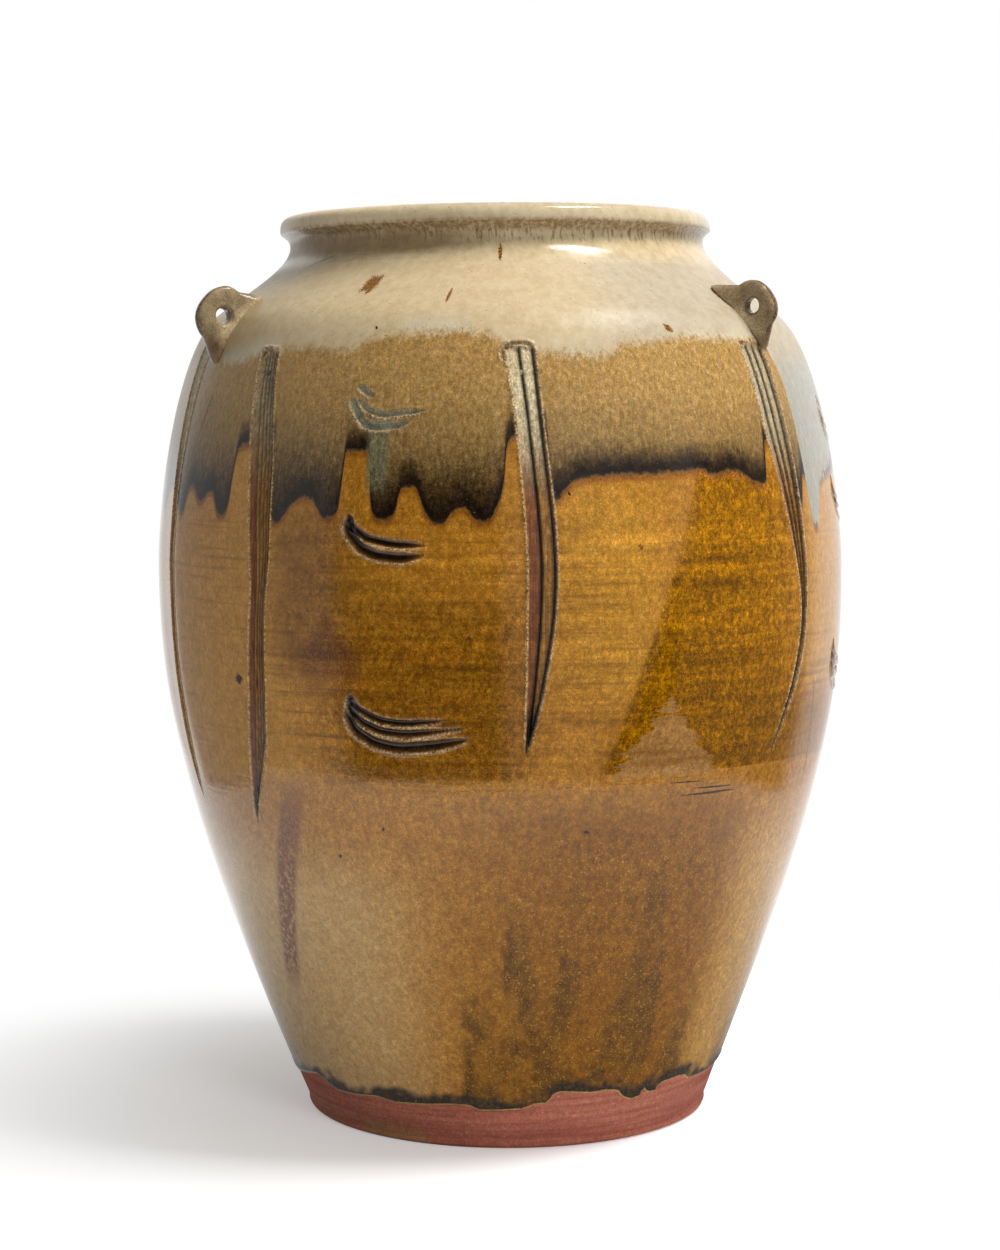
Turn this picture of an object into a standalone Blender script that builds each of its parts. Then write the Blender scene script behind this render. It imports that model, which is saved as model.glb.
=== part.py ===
"""Stoneware storage jar with three pierced lugs.

A large pot is thrown in stages: a base with its floor, a shoulder that is set on it at the widest part,
and a neck with a rolled lip that is set on the shoulder. Each joint is keyed, with a ridge under the upper
piece and a groove in the lower one. Three lugs are pinched on to the shoulder and pierced for a cord.
Long tapering strokes are drawn down the wall with a comb.

Metres, +Z up. The origin is the centre of the foot. Azimuths are measured from the front, which is -Y,
towards +X. The pieces stand apart by a hair gap where clay was luted to clay.
"""

import math

import bmesh
import bpy
from mathutils import Matrix, Vector
from mathutils.geometry import interpolate_bezier

# Body
FOOT_RADIUS = 0.0851
FOOT_EDGE = 0.0025
BELLY_RADIUS = 0.1460
BASE_RISE = 0.2321
SHOULDER_RISE = 0.1358
WALL = 0.0075
FLOOR = 0.0110
FLOOR_FILLET = 0.0060

# Neck and lip
NECK_RADIUS = 0.0876
NECK_RISE = 0.0129
LIP_OVERHANG = 0.0036
LIP_THICKNESS = 0.0074

# Joints between the thrown pieces
JOINT_GAP = 0.0003
KEY_DEPTH = 0.0020

# Lugs: azimuths in degrees, and how far each one slipped down the wall as it was pressed on
LUG_AZIMUTHS = {"lug_left": -60.5, "lug_right": 55.0, "lug_back": 177.0}
LUG_DROPS = {"lug_left": 0.0020, "lug_right": -0.0012, "lug_back": 0.0}
LUG_RING_RADIUS = 0.0100
LUG_THICKNESS = 0.0078
LUG_UPPER_TAIL = 0.0195
LUG_LOWER_TAIL = 0.0175
LUG_HOLE_RISE = 0.0058
LUG_HOLE_RADIUS = 0.0033
LUG_HOLE_MOUTH_RADIUS = 0.0046
LUG_HOLE_MOUTH_DEPTH = 0.0014

# Strokes drawn down the wall with a comb
STROKE_DEPTH = 0.0011

# How far a cutter runs past what it cuts
OVERRUN = 0.0040

# The turn of the shoulder, where round becomes hollow, between the neck's waist and the belly
TURN_RADIUS_SHARE = 0.532
TURN_HEIGHT_SHARE = 0.782
# How steeply the wall leans there and at the foot, as radius lost or gained for each unit of height
TURN_SLOPE = 1.32
FOOT_SLOPE = 0.396
# Lengths of the curve handles, as shares of the height of the stretch that they shape
BASE_HANDLE_SHARES = (0.604, 0.260)
ROUND_HANDLE_SHARES = (0.246, 0.218)
HOLLOW_HANDLE_SHARES = (0.452, 0.300)
THROAT_HANDLE_SHARES = (0.550, 0.350)
# Where the neck is set on the shoulder, up the hollow, and where the lug sits on the shoulder
NECK_JOINT_SHARE = 0.600
LUG_HEIGHT_SHARE = 0.757
# How square the lug is across, how much it spreads at its root, and how wide its two smeared tails are
LUG_BLUNTNESS = 3.2
LUG_FLARE_SHARE = 0.45
LUG_TAIL_SPREAD = 29.0
LUG_OUTLINE_STEPS = 30
LUG_ACROSS_STEPS = 10
HOLE_SIDES = 18

# The lip's outline from its lower edge, over the crest and down inside the mouth: across as shares of
# the lip's width from its inner face, up as shares of its thickness
LIP_OUTLINE_SHARES = (
    (0.95, 0.00),
    (1.00, 0.18),
    (0.99, 0.42),
    (0.93, 0.66),
    (0.82, 0.84),
    (0.68, 0.96),
    (0.52, 1.00),
    (0.34, 0.96),
    (0.17, 0.84),
    (0.05, 0.62),
    (0.00, 0.30),
)

# Where the strokes start, up the shoulder, where in its width each one is deepest, and how deep its sides are
STROKE_TOP_SHARE = 0.677
STROKE_LINE_SHARE = 0.80
STROKE_SIDE_SHARE = 0.55
# How far up the base each stroke ends
STROKE_TIP_SHARES = {"far_left": 0.600, "left": 0.595, "right": 0.728, "far_right": 0.707}
# Azimuths of each stroke's two edges, at even steps from its top to its tip
STROKE_AZIMUTHS = {
    "far_left": ((-69.0, -64.5), (-69.0, -65.1), (-69.0, -65.6), (-68.7, -65.7), (-66.9, -66.7)),
    "left": ((-45.6, -41.5), (-43.8, -38.0), (-42.7, -37.8), (-44.0, -39.9), (-47.2, -47.0)),
    "right": ((1.0, 7.4), (3.2, 7.9), (4.2, 9.0), (4.1, 7.4), (3.7, 3.9)),
    "far_right": ((47.9, 54.2), (49.4, 55.5), (53.8, 56.8), (55.4, 56.9), (50.2, 50.4)),
}
STROKE_STEPS = 10

TURNS = 60
CURVE_STEPS = {"base": 12, "round": 9, "hollow": 8, "throat": 4, "edge": 3}


def clear_scene():
    for old in list(bpy.data.objects):
        bpy.data.objects.remove(old, do_unlink=True)


def fired_clay(name, colour, roughness):
    """Principled material of glazed or bare stoneware."""
    material = bpy.data.materials.new(name)
    material.use_nodes = True
    shader = material.node_tree.nodes["Principled BSDF"]
    shader.inputs["Base Color"].default_value = (*colour, 1.0)
    shader.inputs["Roughness"].default_value = roughness
    shader.inputs["Metallic"].default_value = 0.0
    return material


def curve(start, start_handle, end_handle, end, steps):
    """Points of a Bezier curve in the profile plane, with x as radius and y as height."""
    corners = [Vector((p[0], p[1], 0)) for p in (start, start_handle, end_handle, end)]
    return [(p.x, p.y) for p in interpolate_bezier(*corners, steps + 1)]


def along(point, slope, length):
    """The point that lies this far up a line which loses slope of radius for each unit of height."""
    step = length / math.hypot(slope, 1.0)
    return (point[0] - slope * step, point[1] + step)


def outer_wall():
    """The jar's outside from the foot's edge to the waist of the neck, bottom to top."""
    foot = (FOOT_RADIUS, 0.0)
    belly = (BELLY_RADIUS, BASE_RISE)
    turn = (
        NECK_RADIUS + TURN_RADIUS_SHARE * (BELLY_RADIUS - NECK_RADIUS),
        BASE_RISE + TURN_HEIGHT_SHARE * SHOULDER_RISE,
    )
    waist = (NECK_RADIUS, BASE_RISE + SHOULDER_RISE)
    round_rise = turn[1] - belly[1]
    hollow_rise = waist[1] - turn[1]
    base = curve(
        foot,
        along(foot, -FOOT_SLOPE, BASE_HANDLE_SHARES[0] * BASE_RISE),
        (BELLY_RADIUS, BASE_RISE - BASE_HANDLE_SHARES[1] * BASE_RISE),
        belly,
        CURVE_STEPS["base"],
    )
    rounded = curve(
        belly,
        (BELLY_RADIUS, BASE_RISE + ROUND_HANDLE_SHARES[0] * round_rise),
        along(turn, TURN_SLOPE, -ROUND_HANDLE_SHARES[1] * round_rise),
        turn,
        CURVE_STEPS["round"],
    )
    hollow = curve(
        turn,
        along(turn, TURN_SLOPE, HOLLOW_HANDLE_SHARES[0] * hollow_rise),
        (NECK_RADIUS, waist[1] - HOLLOW_HANDLE_SHARES[1] * hollow_rise),
        waist,
        CURVE_STEPS["hollow"],
    )
    return base + rounded[1:] + hollow[1:]


def offset(line, distance):
    """The line moved sideways: inwards to the clay's inner face, or outwards if distance is negative."""
    moved = []
    for i, (radius, height) in enumerate(line):
        before = line[max(i - 1, 0)]
        after = line[min(i + 1, len(line) - 1)]
        run = Vector((after[0] - before[0], after[1] - before[1])).normalized()
        moved.append((radius - distance * run.y, height + distance * run.x))
    return moved


def point_at(line, height):
    """Where a line that climbs steadily is at this height."""
    for low, high in zip(line, line[1:]):
        if low[1] <= height <= high[1]:
            share = (height - low[1]) / (high[1] - low[1])
            return (low[0] + share * (high[0] - low[0]), height)
    raise ValueError("the line does not reach this height")


def between(line, low, high):
    """The stretch of a line from one height to another, with its two cut ends."""
    inside = [p for p in line if low < p[1] < high]
    return [point_at(line, low)] + inside + [point_at(line, high)]


def arc(centre, radius, start, end, steps):
    """Points of a round corner, in degrees from the radius axis."""
    turns = [math.radians(start + (end - start) * i / steps) for i in range(steps + 1)]
    return [(centre[0] + radius * math.cos(a), centre[1] + radius * math.sin(a)) for a in turns]


def key(outer, inner):
    """The V between the two faces of a wall: a groove in the lower piece, a ridge under the upper one."""
    return ((outer[0] + inner[0]) / 2, outer[1] - KEY_DEPTH)


def turned(name, profile, material):
    """A solid turned on the wheel from its profile, which runs up its outer side."""
    mesh = bmesh.new()
    points = [mesh.verts.new((radius, 0, height)) for radius, height in profile]
    edges = [mesh.edges.new(pair) for pair in zip(points, points[1:])]
    if profile[0][0] > 0:
        edges.append(mesh.edges.new((points[-1], points[0])))
    bmesh.ops.spin(
        mesh, geom=points + edges, axis=(0, 0, 1), cent=(0, 0, 0),
        angle=math.tau, steps=TURNS, use_merge=True,
    )
    bmesh.ops.remove_doubles(mesh, verts=mesh.verts, dist=JOINT_GAP / 100)
    bmesh.ops.recalc_face_normals(mesh, faces=mesh.faces)
    return placed(name, mesh, material)


def placed(name, mesh, material):
    """Puts a finished mesh in the scene as one named, smoothly shaded object."""
    data = bpy.data.meshes.new(name)
    mesh.to_mesh(data)
    mesh.free()
    data.shade_smooth()
    data.set_sharp_from_angle(angle=math.radians(35))
    item = bpy.data.objects.new(name, data)
    bpy.context.collection.objects.link(item)
    if material:
        data.materials.append(material)
    return item


def as_cutter(item):
    item.hide_render = True
    item.display_type = "WIRE"
    return item


def cut(item, cutter):
    boolean = item.modifiers.new(cutter.name, "BOOLEAN")
    boolean.operation = "DIFFERENCE"
    boolean.object = cutter


def base_section(outside, inside, material):
    """The lower half of the body with its floor."""
    top = BASE_RISE - JOINT_GAP / 2
    wall = between(outside, FOOT_EDGE, top)
    edge = arc(
        (wall[0][0] - FOOT_EDGE, FOOT_EDGE), FOOT_EDGE, -90, 0, CURVE_STEPS["edge"]
    )
    hollow = between(inside, FLOOR + FLOOR_FILLET, top)
    corner = (hollow[0][0] - FLOOR_FILLET, FLOOR + FLOOR_FILLET)
    fillet = arc(corner, FLOOR_FILLET, 0, -90, CURVE_STEPS["edge"])
    profile = [(0.0, 0.0)] + edge + wall[1:] + [key(wall[-1], hollow[-1])]
    profile += hollow[::-1] + fillet[1:] + [(0.0, FLOOR)]
    return turned("base_section", profile, material)


def shoulder_section(outside, inside, neck_joint, material):
    """The upper half of the body, from the widest part to the opening for the neck."""
    low = BASE_RISE + JOINT_GAP / 2
    high = neck_joint - JOINT_GAP / 2
    wall = between(outside, low, high)
    hollow = between(inside, low, high)
    profile = wall + [key(wall[-1], hollow[-1])] + hollow[::-1] + [key(wall[0], hollow[0])]
    return turned("shoulder_section", profile, material)


def lip_outline():
    """The rolled lip, from under its edge, over the crest and down inside the mouth."""
    inner = NECK_RADIUS - WALL
    width = WALL + LIP_OVERHANG
    bottom = BASE_RISE + SHOULDER_RISE + NECK_RISE - LIP_THICKNESS
    return [(inner + a * width, bottom + b * LIP_THICKNESS) for a, b in LIP_OUTLINE_SHARES]


def neck_and_rim(outside, inside, neck_joint, material):
    """The collar with its rolled lip."""
    low = neck_joint + JOINT_GAP / 2
    waist = outside[-1]
    wall = between(outside, low, waist[1])
    hollow = between(inside, low, inside[-1][1])
    lip = lip_outline()
    rise = lip[0][1] - waist[1]
    throat = curve(
        waist,
        (waist[0], waist[1] + THROAT_HANDLE_SHARES[0] * rise),
        (lip[0][0] - THROAT_HANDLE_SHARES[1] * rise, lip[0][1] - THROAT_HANDLE_SHARES[1] * rise),
        lip[0],
        CURVE_STEPS["throat"],
    )
    profile = wall + throat[1:] + lip[1:] + hollow[::-1] + [key(wall[0], hollow[0])]
    return turned("neck_and_rim", profile, material)


def wall_frame(outside, foot_height):
    """A function from a way down the wall, from a height on it, to the point there and its outside."""
    start = point_at(outside, foot_height)
    above = [start] + [p for p in outside if p[1] > foot_height]
    below = [start] + [p for p in reversed(outside) if p[1] < foot_height]

    def point(way):
        line = below if way > 0 else above
        left = abs(way)
        for near, far in zip(line, line[1:]):
            run = Vector((far[0] - near[0], far[1] - near[1]))
            if left <= run.length:
                break
            left -= run.length
        return Vector(near) + run.normalized() * left

    def frame(way):
        down = (point(way + LUG_THICKNESS) - point(way - LUG_THICKNESS)).normalized()
        return point(way), Vector((-down.y, down.x))

    return frame


def ear_reach(angle):
    """How far the lug reaches from its hole: a ring with a tail smeared up and down the wall."""
    reach = LUG_RING_RADIUS
    for way in (-LUG_UPPER_TAIL, LUG_LOWER_TAIL):
        tail = math.atan2(-LUG_HOLE_RISE, way)
        aside = abs((angle - tail + math.pi) % math.tau - math.pi) / math.radians(LUG_TAIL_SPREAD)
        tip = math.hypot(LUG_HOLE_RISE, way)
        reach += (tip - LUG_RING_RADIUS) * max(0.0, 1 - aside) ** 2
    return reach


def lug_body(name, frame, material):
    """A pinched ear that stands on the wall, with its root buried in it, built facing +X."""
    mesh = bmesh.new()
    bmesh.ops.create_uvsphere(
        mesh, u_segments=LUG_OUTLINE_STEPS, v_segments=LUG_ACROSS_STEPS, radius=1.0
    )
    for point in mesh.verts:
        angle = math.atan2(point.co.y, point.co.x)
        reach = ear_reach(angle) * math.hypot(point.co.x, point.co.y) ** (2 / LUG_BLUNTNESS)
        way = reach * math.cos(angle)
        rise = LUG_HOLE_RISE + reach * math.sin(angle)
        across = math.copysign(abs(point.co.z) ** (2 / LUG_BLUNTNESS), point.co.z) * LUG_THICKNESS / 2
        flare = 1 + LUG_FLARE_SHARE * max(0.0, 1 - max(rise, 0.0) / LUG_HOLE_RISE) ** 2
        place, out = frame(way)
        spot = place + out * rise
        point.co = (spot.x, across * flare, spot.y)
    bmesh.ops.recalc_face_normals(mesh, faces=mesh.faces)
    return placed(name, mesh, material)


def lug_hole(name, frame):
    """The cutter for a lug's hole: a waist between two countersunk mouths, along Y."""
    place, out = frame(0.0)
    middle = place + out * LUG_HOLE_RISE
    face = LUG_THICKNESS / 2
    flare = (LUG_HOLE_MOUTH_RADIUS - LUG_HOLE_RADIUS) * OVERRUN / LUG_HOLE_MOUTH_DEPTH
    half = [
        (0.0, face + OVERRUN),
        (LUG_HOLE_MOUTH_RADIUS + flare, face + OVERRUN),
        (LUG_HOLE_RADIUS, face - LUG_HOLE_MOUTH_DEPTH),
    ]
    profile = half + [(radius, -across) for radius, across in reversed(half)]
    mesh = bmesh.new()
    points = [mesh.verts.new((radius, across, 0)) for radius, across in profile]
    edges = [mesh.edges.new(pair) for pair in zip(points, points[1:])]
    bmesh.ops.spin(
        mesh, geom=points + edges, axis=(0, 1, 0), cent=(0, 0, 0),
        angle=math.tau, steps=HOLE_SIDES, use_merge=True,
    )
    bmesh.ops.remove_doubles(mesh, verts=mesh.verts, dist=JOINT_GAP / 100)
    bmesh.ops.recalc_face_normals(mesh, faces=mesh.faces)
    bmesh.ops.transform(mesh, verts=mesh.verts, matrix=Matrix.Translation((middle.x, 0, middle.y)))
    return as_cutter(placed(name, mesh, None))


def wall_core(outside):
    """The cutter that stands for the whole jar, a hair larger, so that a lug seats on the wall."""
    grown = offset(outside, -JOINT_GAP)
    profile = [(0.0, grown[0][1])] + grown + [(0.0, grown[-1][1])]
    return as_cutter(turned("wall_core", profile, None))


def stroke_edges(edges, share):
    """Azimuths of a stroke's two edges at this share of its length, with its bends eased."""
    place = share * (len(edges) - 1)
    i = min(int(place), len(edges) - 2)
    way = place - i
    around = [edges[max(i - 1, 0)], edges[i], edges[i + 1], edges[min(i + 2, len(edges) - 1)]]
    eased = []
    for before, start, end, after in zip(*around):
        slope_in = (end - before) / 2
        slope_out = (after - start) / 2
        low = start + slope_in * way
        high = end - slope_out * (1 - way)
        eased.append(low + (high - low) * way * way * (3 - 2 * way))
    return eased


def on_round(azimuth, radius, height):
    turn = math.radians(azimuth)
    return (radius * math.sin(turn), -radius * math.cos(turn), height)


def drawn_strokes(outside):
    """The cutter for the comb's strokes: each slopes down to a line near its right edge. Those on the back
    are those on the front, mirrored."""
    mesh = bmesh.new()
    top = BASE_RISE + STROKE_TOP_SHARE * SHOULDER_RISE
    for name, edges in STROKE_AZIMUTHS.items():
        tip = STROKE_TIP_SHARES[name] * BASE_RISE
        for behind in (False, True):
            rings = []
            for i in range(STROKE_STEPS + 1):
                share = i / STROKE_STEPS
                height = top + (tip - top) * share
                radius = point_at(outside, height)[0]
                left, right = stroke_edges(edges, share)
                line = left + STROKE_LINE_SHARE * (right - left)
                section = [
                    (left, radius + OVERRUN),
                    (left, radius - STROKE_SIDE_SHARE * STROKE_DEPTH),
                    (line, radius - STROKE_DEPTH),
                    (right, radius - STROKE_SIDE_SHARE * STROKE_DEPTH),
                    (right, radius + OVERRUN),
                ]
                ring = []
                for azimuth, reach in section:
                    turn = math.copysign(180, azimuth) - azimuth if behind else azimuth
                    ring.append(mesh.verts.new(on_round(turn, reach, height)))
                rings.append([mesh.edges.new(pair) for pair in zip(ring, ring[1:] + ring[:1])])
            for upper, lower in zip(rings, rings[1:]):
                bmesh.ops.bridge_loops(mesh, edges=upper + lower)
            for end in (rings[0], rings[-1]):
                bmesh.ops.contextual_create(mesh, geom=end)
    bmesh.ops.recalc_face_normals(mesh, faces=mesh.faces)
    return as_cutter(placed("comb_strokes", mesh, None))


def main():
    clear_scene()
    outside = outer_wall()
    inside = offset(outside, WALL)
    hollow_rise = (1 - TURN_HEIGHT_SHARE) * SHOULDER_RISE
    neck_joint = BASE_RISE + SHOULDER_RISE - (1 - NECK_JOINT_SHARE) * hollow_rise
    lug_height = BASE_RISE + LUG_HEIGHT_SHARE * SHOULDER_RISE

    bare_and_amber = fired_clay("amber_ash_glaze", (0.40, 0.22, 0.06), 0.25)
    dark_run = fired_clay("dark_ash_glaze", (0.22, 0.15, 0.08), 0.22)
    cream = fired_clay("cream_ash_glaze", (0.58, 0.48, 0.34), 0.35)
    brown = fired_clay("brown_ash_glaze", (0.30, 0.22, 0.13), 0.30)

    base = base_section(outside, inside, bare_and_amber)
    shoulder = shoulder_section(outside, inside, neck_joint, dark_run)
    neck_and_rim(outside, inside, neck_joint, cream)
    strokes = drawn_strokes(outside)
    cut(base, strokes)
    cut(shoulder, strokes)
    core = wall_core(outside)
    for name, azimuth in LUG_AZIMUTHS.items():
        frame = wall_frame(outside, lug_height - LUG_DROPS[name])
        lug = lug_body(name, frame, brown)
        hole = lug_hole(name + "_hole", frame)
        hole.parent = lug
        lug.rotation_euler.z = math.radians(azimuth - 90)
        cut(lug, hole)
        cut(lug, core)


main()
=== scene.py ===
import functools
import math

import bmesh
import bpy
import numpy as np
from mathutils import Matrix, Vector, noise
from mathutils.geometry import interpolate_bezier


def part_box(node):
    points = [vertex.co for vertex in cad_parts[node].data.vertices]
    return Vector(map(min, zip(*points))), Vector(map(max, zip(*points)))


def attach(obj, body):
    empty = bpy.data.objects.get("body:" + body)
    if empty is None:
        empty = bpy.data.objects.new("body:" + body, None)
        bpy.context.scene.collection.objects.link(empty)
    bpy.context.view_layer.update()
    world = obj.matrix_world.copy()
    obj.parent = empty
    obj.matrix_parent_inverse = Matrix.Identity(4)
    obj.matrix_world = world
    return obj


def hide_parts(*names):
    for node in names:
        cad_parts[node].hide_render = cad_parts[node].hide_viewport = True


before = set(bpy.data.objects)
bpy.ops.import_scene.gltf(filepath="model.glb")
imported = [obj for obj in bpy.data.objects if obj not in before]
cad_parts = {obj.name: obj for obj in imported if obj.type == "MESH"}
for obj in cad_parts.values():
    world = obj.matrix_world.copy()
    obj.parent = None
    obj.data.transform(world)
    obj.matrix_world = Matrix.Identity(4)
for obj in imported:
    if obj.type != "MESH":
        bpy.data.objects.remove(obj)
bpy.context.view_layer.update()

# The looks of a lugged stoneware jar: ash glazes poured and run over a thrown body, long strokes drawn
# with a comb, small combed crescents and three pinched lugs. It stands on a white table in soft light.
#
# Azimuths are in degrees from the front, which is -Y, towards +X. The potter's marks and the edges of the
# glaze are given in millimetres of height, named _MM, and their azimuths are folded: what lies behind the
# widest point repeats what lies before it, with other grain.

MM = 0.001

# Thrown profile, as the solids have it
JOINT_GAP = 0.0003
KEY_DEPTH = 0.0020
SKIN = 0.0003
BELLY_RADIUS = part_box("base_section")[1][0] - SKIN
BELLY_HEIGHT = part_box("base_section")[1][2] + JOINT_GAP / 2
NECK_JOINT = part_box("shoulder_section")[1][2] + JOINT_GAP / 2
RIM_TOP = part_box("neck_and_rim")[1][2]
FOOT_RADIUS = 0.0851
FOOT_EDGE = 0.0025
SHOULDER_RISE = 0.1358
WALL = 0.0075
FLOOR = 0.0110
FLOOR_FILLET = 0.0060
NECK_RADIUS = 0.0876
LIP_OVERHANG = 0.0036
LIP_THICKNESS = 0.0074
TURN_RADIUS_SHARE = 0.532
TURN_HEIGHT_SHARE = 0.782
TURN_SLOPE = 1.32
FOOT_SLOPE = 0.396
BASE_HANDLE_SHARES = (0.604, 0.260)
ROUND_HANDLE_SHARES = (0.246, 0.218)
HOLLOW_HANDLE_SHARES = (0.452, 0.300)
THROAT_HANDLE_SHARES = (0.550, 0.350)

# Outline of the lip: corners with the handles between them, across as shares of its width from the inner
# face, up as shares of its thickness
LIP_START_SHARES = (0.93, 0.00)
LIP_CURVE_SHARES = (
    ((0.985, 0.00), (1.00, 0.06), (1.00, 0.20)),
    ((1.00, 0.66), (0.84, 1.00), (0.56, 1.00)),
    ((0.22, 1.00), (0.00, 0.72), (0.00, 0.25)),
)

# How the jar leans and how the rim tips, as it slumped a little in the kiln
LEAN_MM = ((378, -2.4), (362, -1.0), (330, -0.7), (232, 0.1), (60, 1.6), (40, 1.9), (0, 3.0))
RIM_TILT = 0.0094
RIM_TILT_SPAN = (0.340, 0.370)
RIM_DROP = RIM_TILT * (NECK_RADIUS + LIP_OVERHANG)

# Mesh of the thrown wall: steps round it, rows up it as (from, to, step), the thin row at each joint, steps
# round the foot's edge, the fillet and the lip, and rings across the underside and the floor as shares
TURNS = 360
BASE_ROWS_MM = ((2.5, 14, 2.0), (14, 27, 0.5), (27, 130, 4.0), (130, 400, 2.5))
UPPER_ROWS_MM = ((0, 400, 2.0),)
NECK_ROWS_MM = ((0, 400, 1.0),)
INNER_NECK_ROWS = 8
FOOT_EDGE_STEPS = 6
FILLET_STEPS = 5
LIP_STEPS = 9
UNDERSIDE_SHARES = (0.0, 0.5, 0.9)
FLOOR_SHARES = (0.6, 0.0)
THIN_ROW = 0.0001
INNER_STEP = 0.0060
CURVE_STEPS = 240
UP = Vector((0, 0, 1))

# Grooves of the long strokes: how far the corners of their edges are eased, how deep they are and how shallow
# beside a line, how they begin, rise and end, how soft their edges are and how high and wide their burr is
EASE_MM = 7
STROKE_DEPTH = 0.0011
STROKE_SHALLOW_SHARE = 0.3
STROKE_START_MM = 1.5
TOOTH_MM = 1.5
RISE_MM = 0.5
BURR = 0.00038
BURR_MM = 0.5
TIP_MM = 22
THINNEST_MM = 0.05
STROKE_EDGE_MM = 0.4
STROKE_SOFT_MM = 0.3
STROKE_SLOPE_POWER = 1.5
START_BURR_MM = 0.8
FAR_BURR_SHARE = 1.4

# Long strokes, drawn downwards with a comb: both edges as (height, azimuth) from the top, the places of the
# deep lines that the teeth left as shares of the width, how wide in millimetres the glaze pooled along them,
# the share that stayed bare and how pale the glaze is at the top
STROKES = (
    {
        "left": ((325, -69.0), (290, -68.6), (260, -67.9), (200, -67.6), (160, -67.9), (139, -66.9)),
        "right": ((325, -64.7), (290, -65.6), (260, -66.3), (200, -66.5), (170, -66.2), (139, -66.9)),
        "lines": (0.50, 1.0),
        "pool": 0.35,
        "bare": 0.0,
        "pale": 0.8,
    },
    {
        "left": ((322, -45.6), (279, -43.4), (232, -41.6), (186, -43.6), (166, -45.2), (138, -47.3)),
        "right": ((322, -41.5), (279, -38.5), (241, -38.0), (225, -39.0), (186, -40.1), (167, -41.3),
                  (138, -47.0)),
        "lines": (0.30, 0.50, 0.67, 0.83, 1.0),
        "pool": 0.30,
        "bare": 0.30,
        "pale": 0.25,
    },
    {
        "left": ((323, 1.0), (301, 2.5), (268, 3.7), (240, 4.3), (200, 4.0), (169, 3.7)),
        "right": ((323, 5.8), (293, 6.7), (257, 8.1), (237, 8.4), (219, 8.0), (200, 6.8), (185, 5.6),
                  (169, 3.8)),
        "lines": (0.48, 0.97),
        "pool": 0.80,
        "bare": 0.48,
        "pale": 1.0,
    },
    {
        "left": ((325, 47.9), (291, 49.0), (263, 51.9), (239, 54.2), (223, 55.8), (207, 55.6), (187, 53.6),
                 (164, 50.2)),
        "right": ((325, 54.2), (291, 55.3), (251, 56.6), (227, 57.2), (207, 57.0), (187, 54.6), (164, 50.3)),
        "lines": (0.30, 0.60, 0.95),
        "pool": 0.50,
        "bare": 0.30,
        "pale": 0.6,
    },
)

# Crescents, swept with the same comb from left to right: each line as (azimuth, height), its half width and
# how deep it is. Each group is repeated round the jar, turned by degrees and lifted by millimetres. The last
# group is the hooks where the comb was set down.
CRESCENTS = (
    {
        "turns": ((0, 0), (99, -4), (-138, 0)),
        "milky": True,
        "pool": 0.8,
        "lines": (
            (((-23.2, 302.4), (-21.3, 298.6), (-18.5, 296.7), (-16.0, 297.5), (-11.3, 298.6)), 0.9, 0.8),
            (((-24.4, 303.6), (-23.4, 298.6), (-21.8, 293.3), (-19.7, 292.2), (-16.2, 293.0), (-14.4, 294.1)),
             1.2, 1.0),
            (((-23.3, 308.1), (-22.0, 305.8), (-20.5, 303.5)), 1.0, 0.6),
        ),
    },
    {
        "turns": ((0, 0), (98, 12), (-138, 0)),
        "milky": False,
        "pool": 1.0,
        "lines": (
            (((-23.6, 259.5), (-22.9, 254.5), (-20.3, 250.2), (-16.5, 248.3), (-10.8, 247.7)), 1.2, 0.9),
            (((-23.9, 257.0), (-23.3, 252.1), (-21.4, 246.6), (-18.8, 244.0), (-15.2, 243.0), (-11.2, 244.2)),
             1.6, 1.1),
        ),
    },
    {
        "turns": ((0, 0), (95.5, 14), (-138, 0)),
        "milky": False,
        "pool": 1.0,
        "lines": (
            (((-23.9, 190.5), (-23.4, 187.5), (-22.2, 184.5), (-19.0, 180.8), (-14.9, 179.8), (-8.2, 181.7)),
             1.0, 0.8),
            (((-24.2, 188.5), (-23.6, 184.5), (-22.3, 180.2), (-19.1, 176.6), (-15.0, 175.7), (-5.3, 178.7)),
             1.2, 0.9),
            (((-24.6, 185.6), (-23.5, 177.0), (-20.2, 171.9), (-16.3, 170.2), (-10.5, 171.6), (-4.7, 174.5)),
             1.6, 1.1),
        ),
    },
    {
        "turns": ((0, 0), (173.5, 0)),
        "milky": False,
        "pool": 0.45,
        "lines": (
            (((0.8, 317.0), (0.7, 321.0), (2.2, 323.8), (4.4, 323.9), (6.2, 322.3)), 0.7, 0.8),
            (((-45.3, 319.0), (-44.9, 321.8), (-43.8, 322.4), (-42.6, 321.6)), 0.6, 0.6),
            (((47.8, 321.0), (48.2, 324.6), (49.6, 325.6)), 0.6, 0.6),
        ),
    },
)

# Lines of the crescents: steps along each, how often it is eased, the degrees and millimetres beside it that
# it can touch, how long its ends taper as shares and with which power, how much further than its half width
# it reaches, where its burr lies and how wide it is, the upper side's share of it, how the glaze pools in it
LINE_STEPS = 80
LINE_EASING = 3
LINE_MARGINS = (4, 6)
LINE_TAPERS = ((0.10, 0.5), (0.16, 0.6))
LINE_REACH = 1.35
SHORTEST_REACH_MM = 0.15
LINE_BURR_MM = (0.4, 0.5)
UPPER_BURR_SHARE = 0.35
LINE_POOL_POWER = 0.4

# Marks that the mesh hands to the glaze
MARKS = ("pooled", "milky", "broken", "drawn", "pale", "bare", "inside")

# The potter's hand in the wall: how wide and high its dents and rings are, and how deep
DENT_SIZE = (0.060, 0.045)
DENT_DEPTH = 0.00011
RING_SIZE = (0.200, 0.0065)
RING_DEPTH = 0.00003
RING_SHIFT = 7

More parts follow.
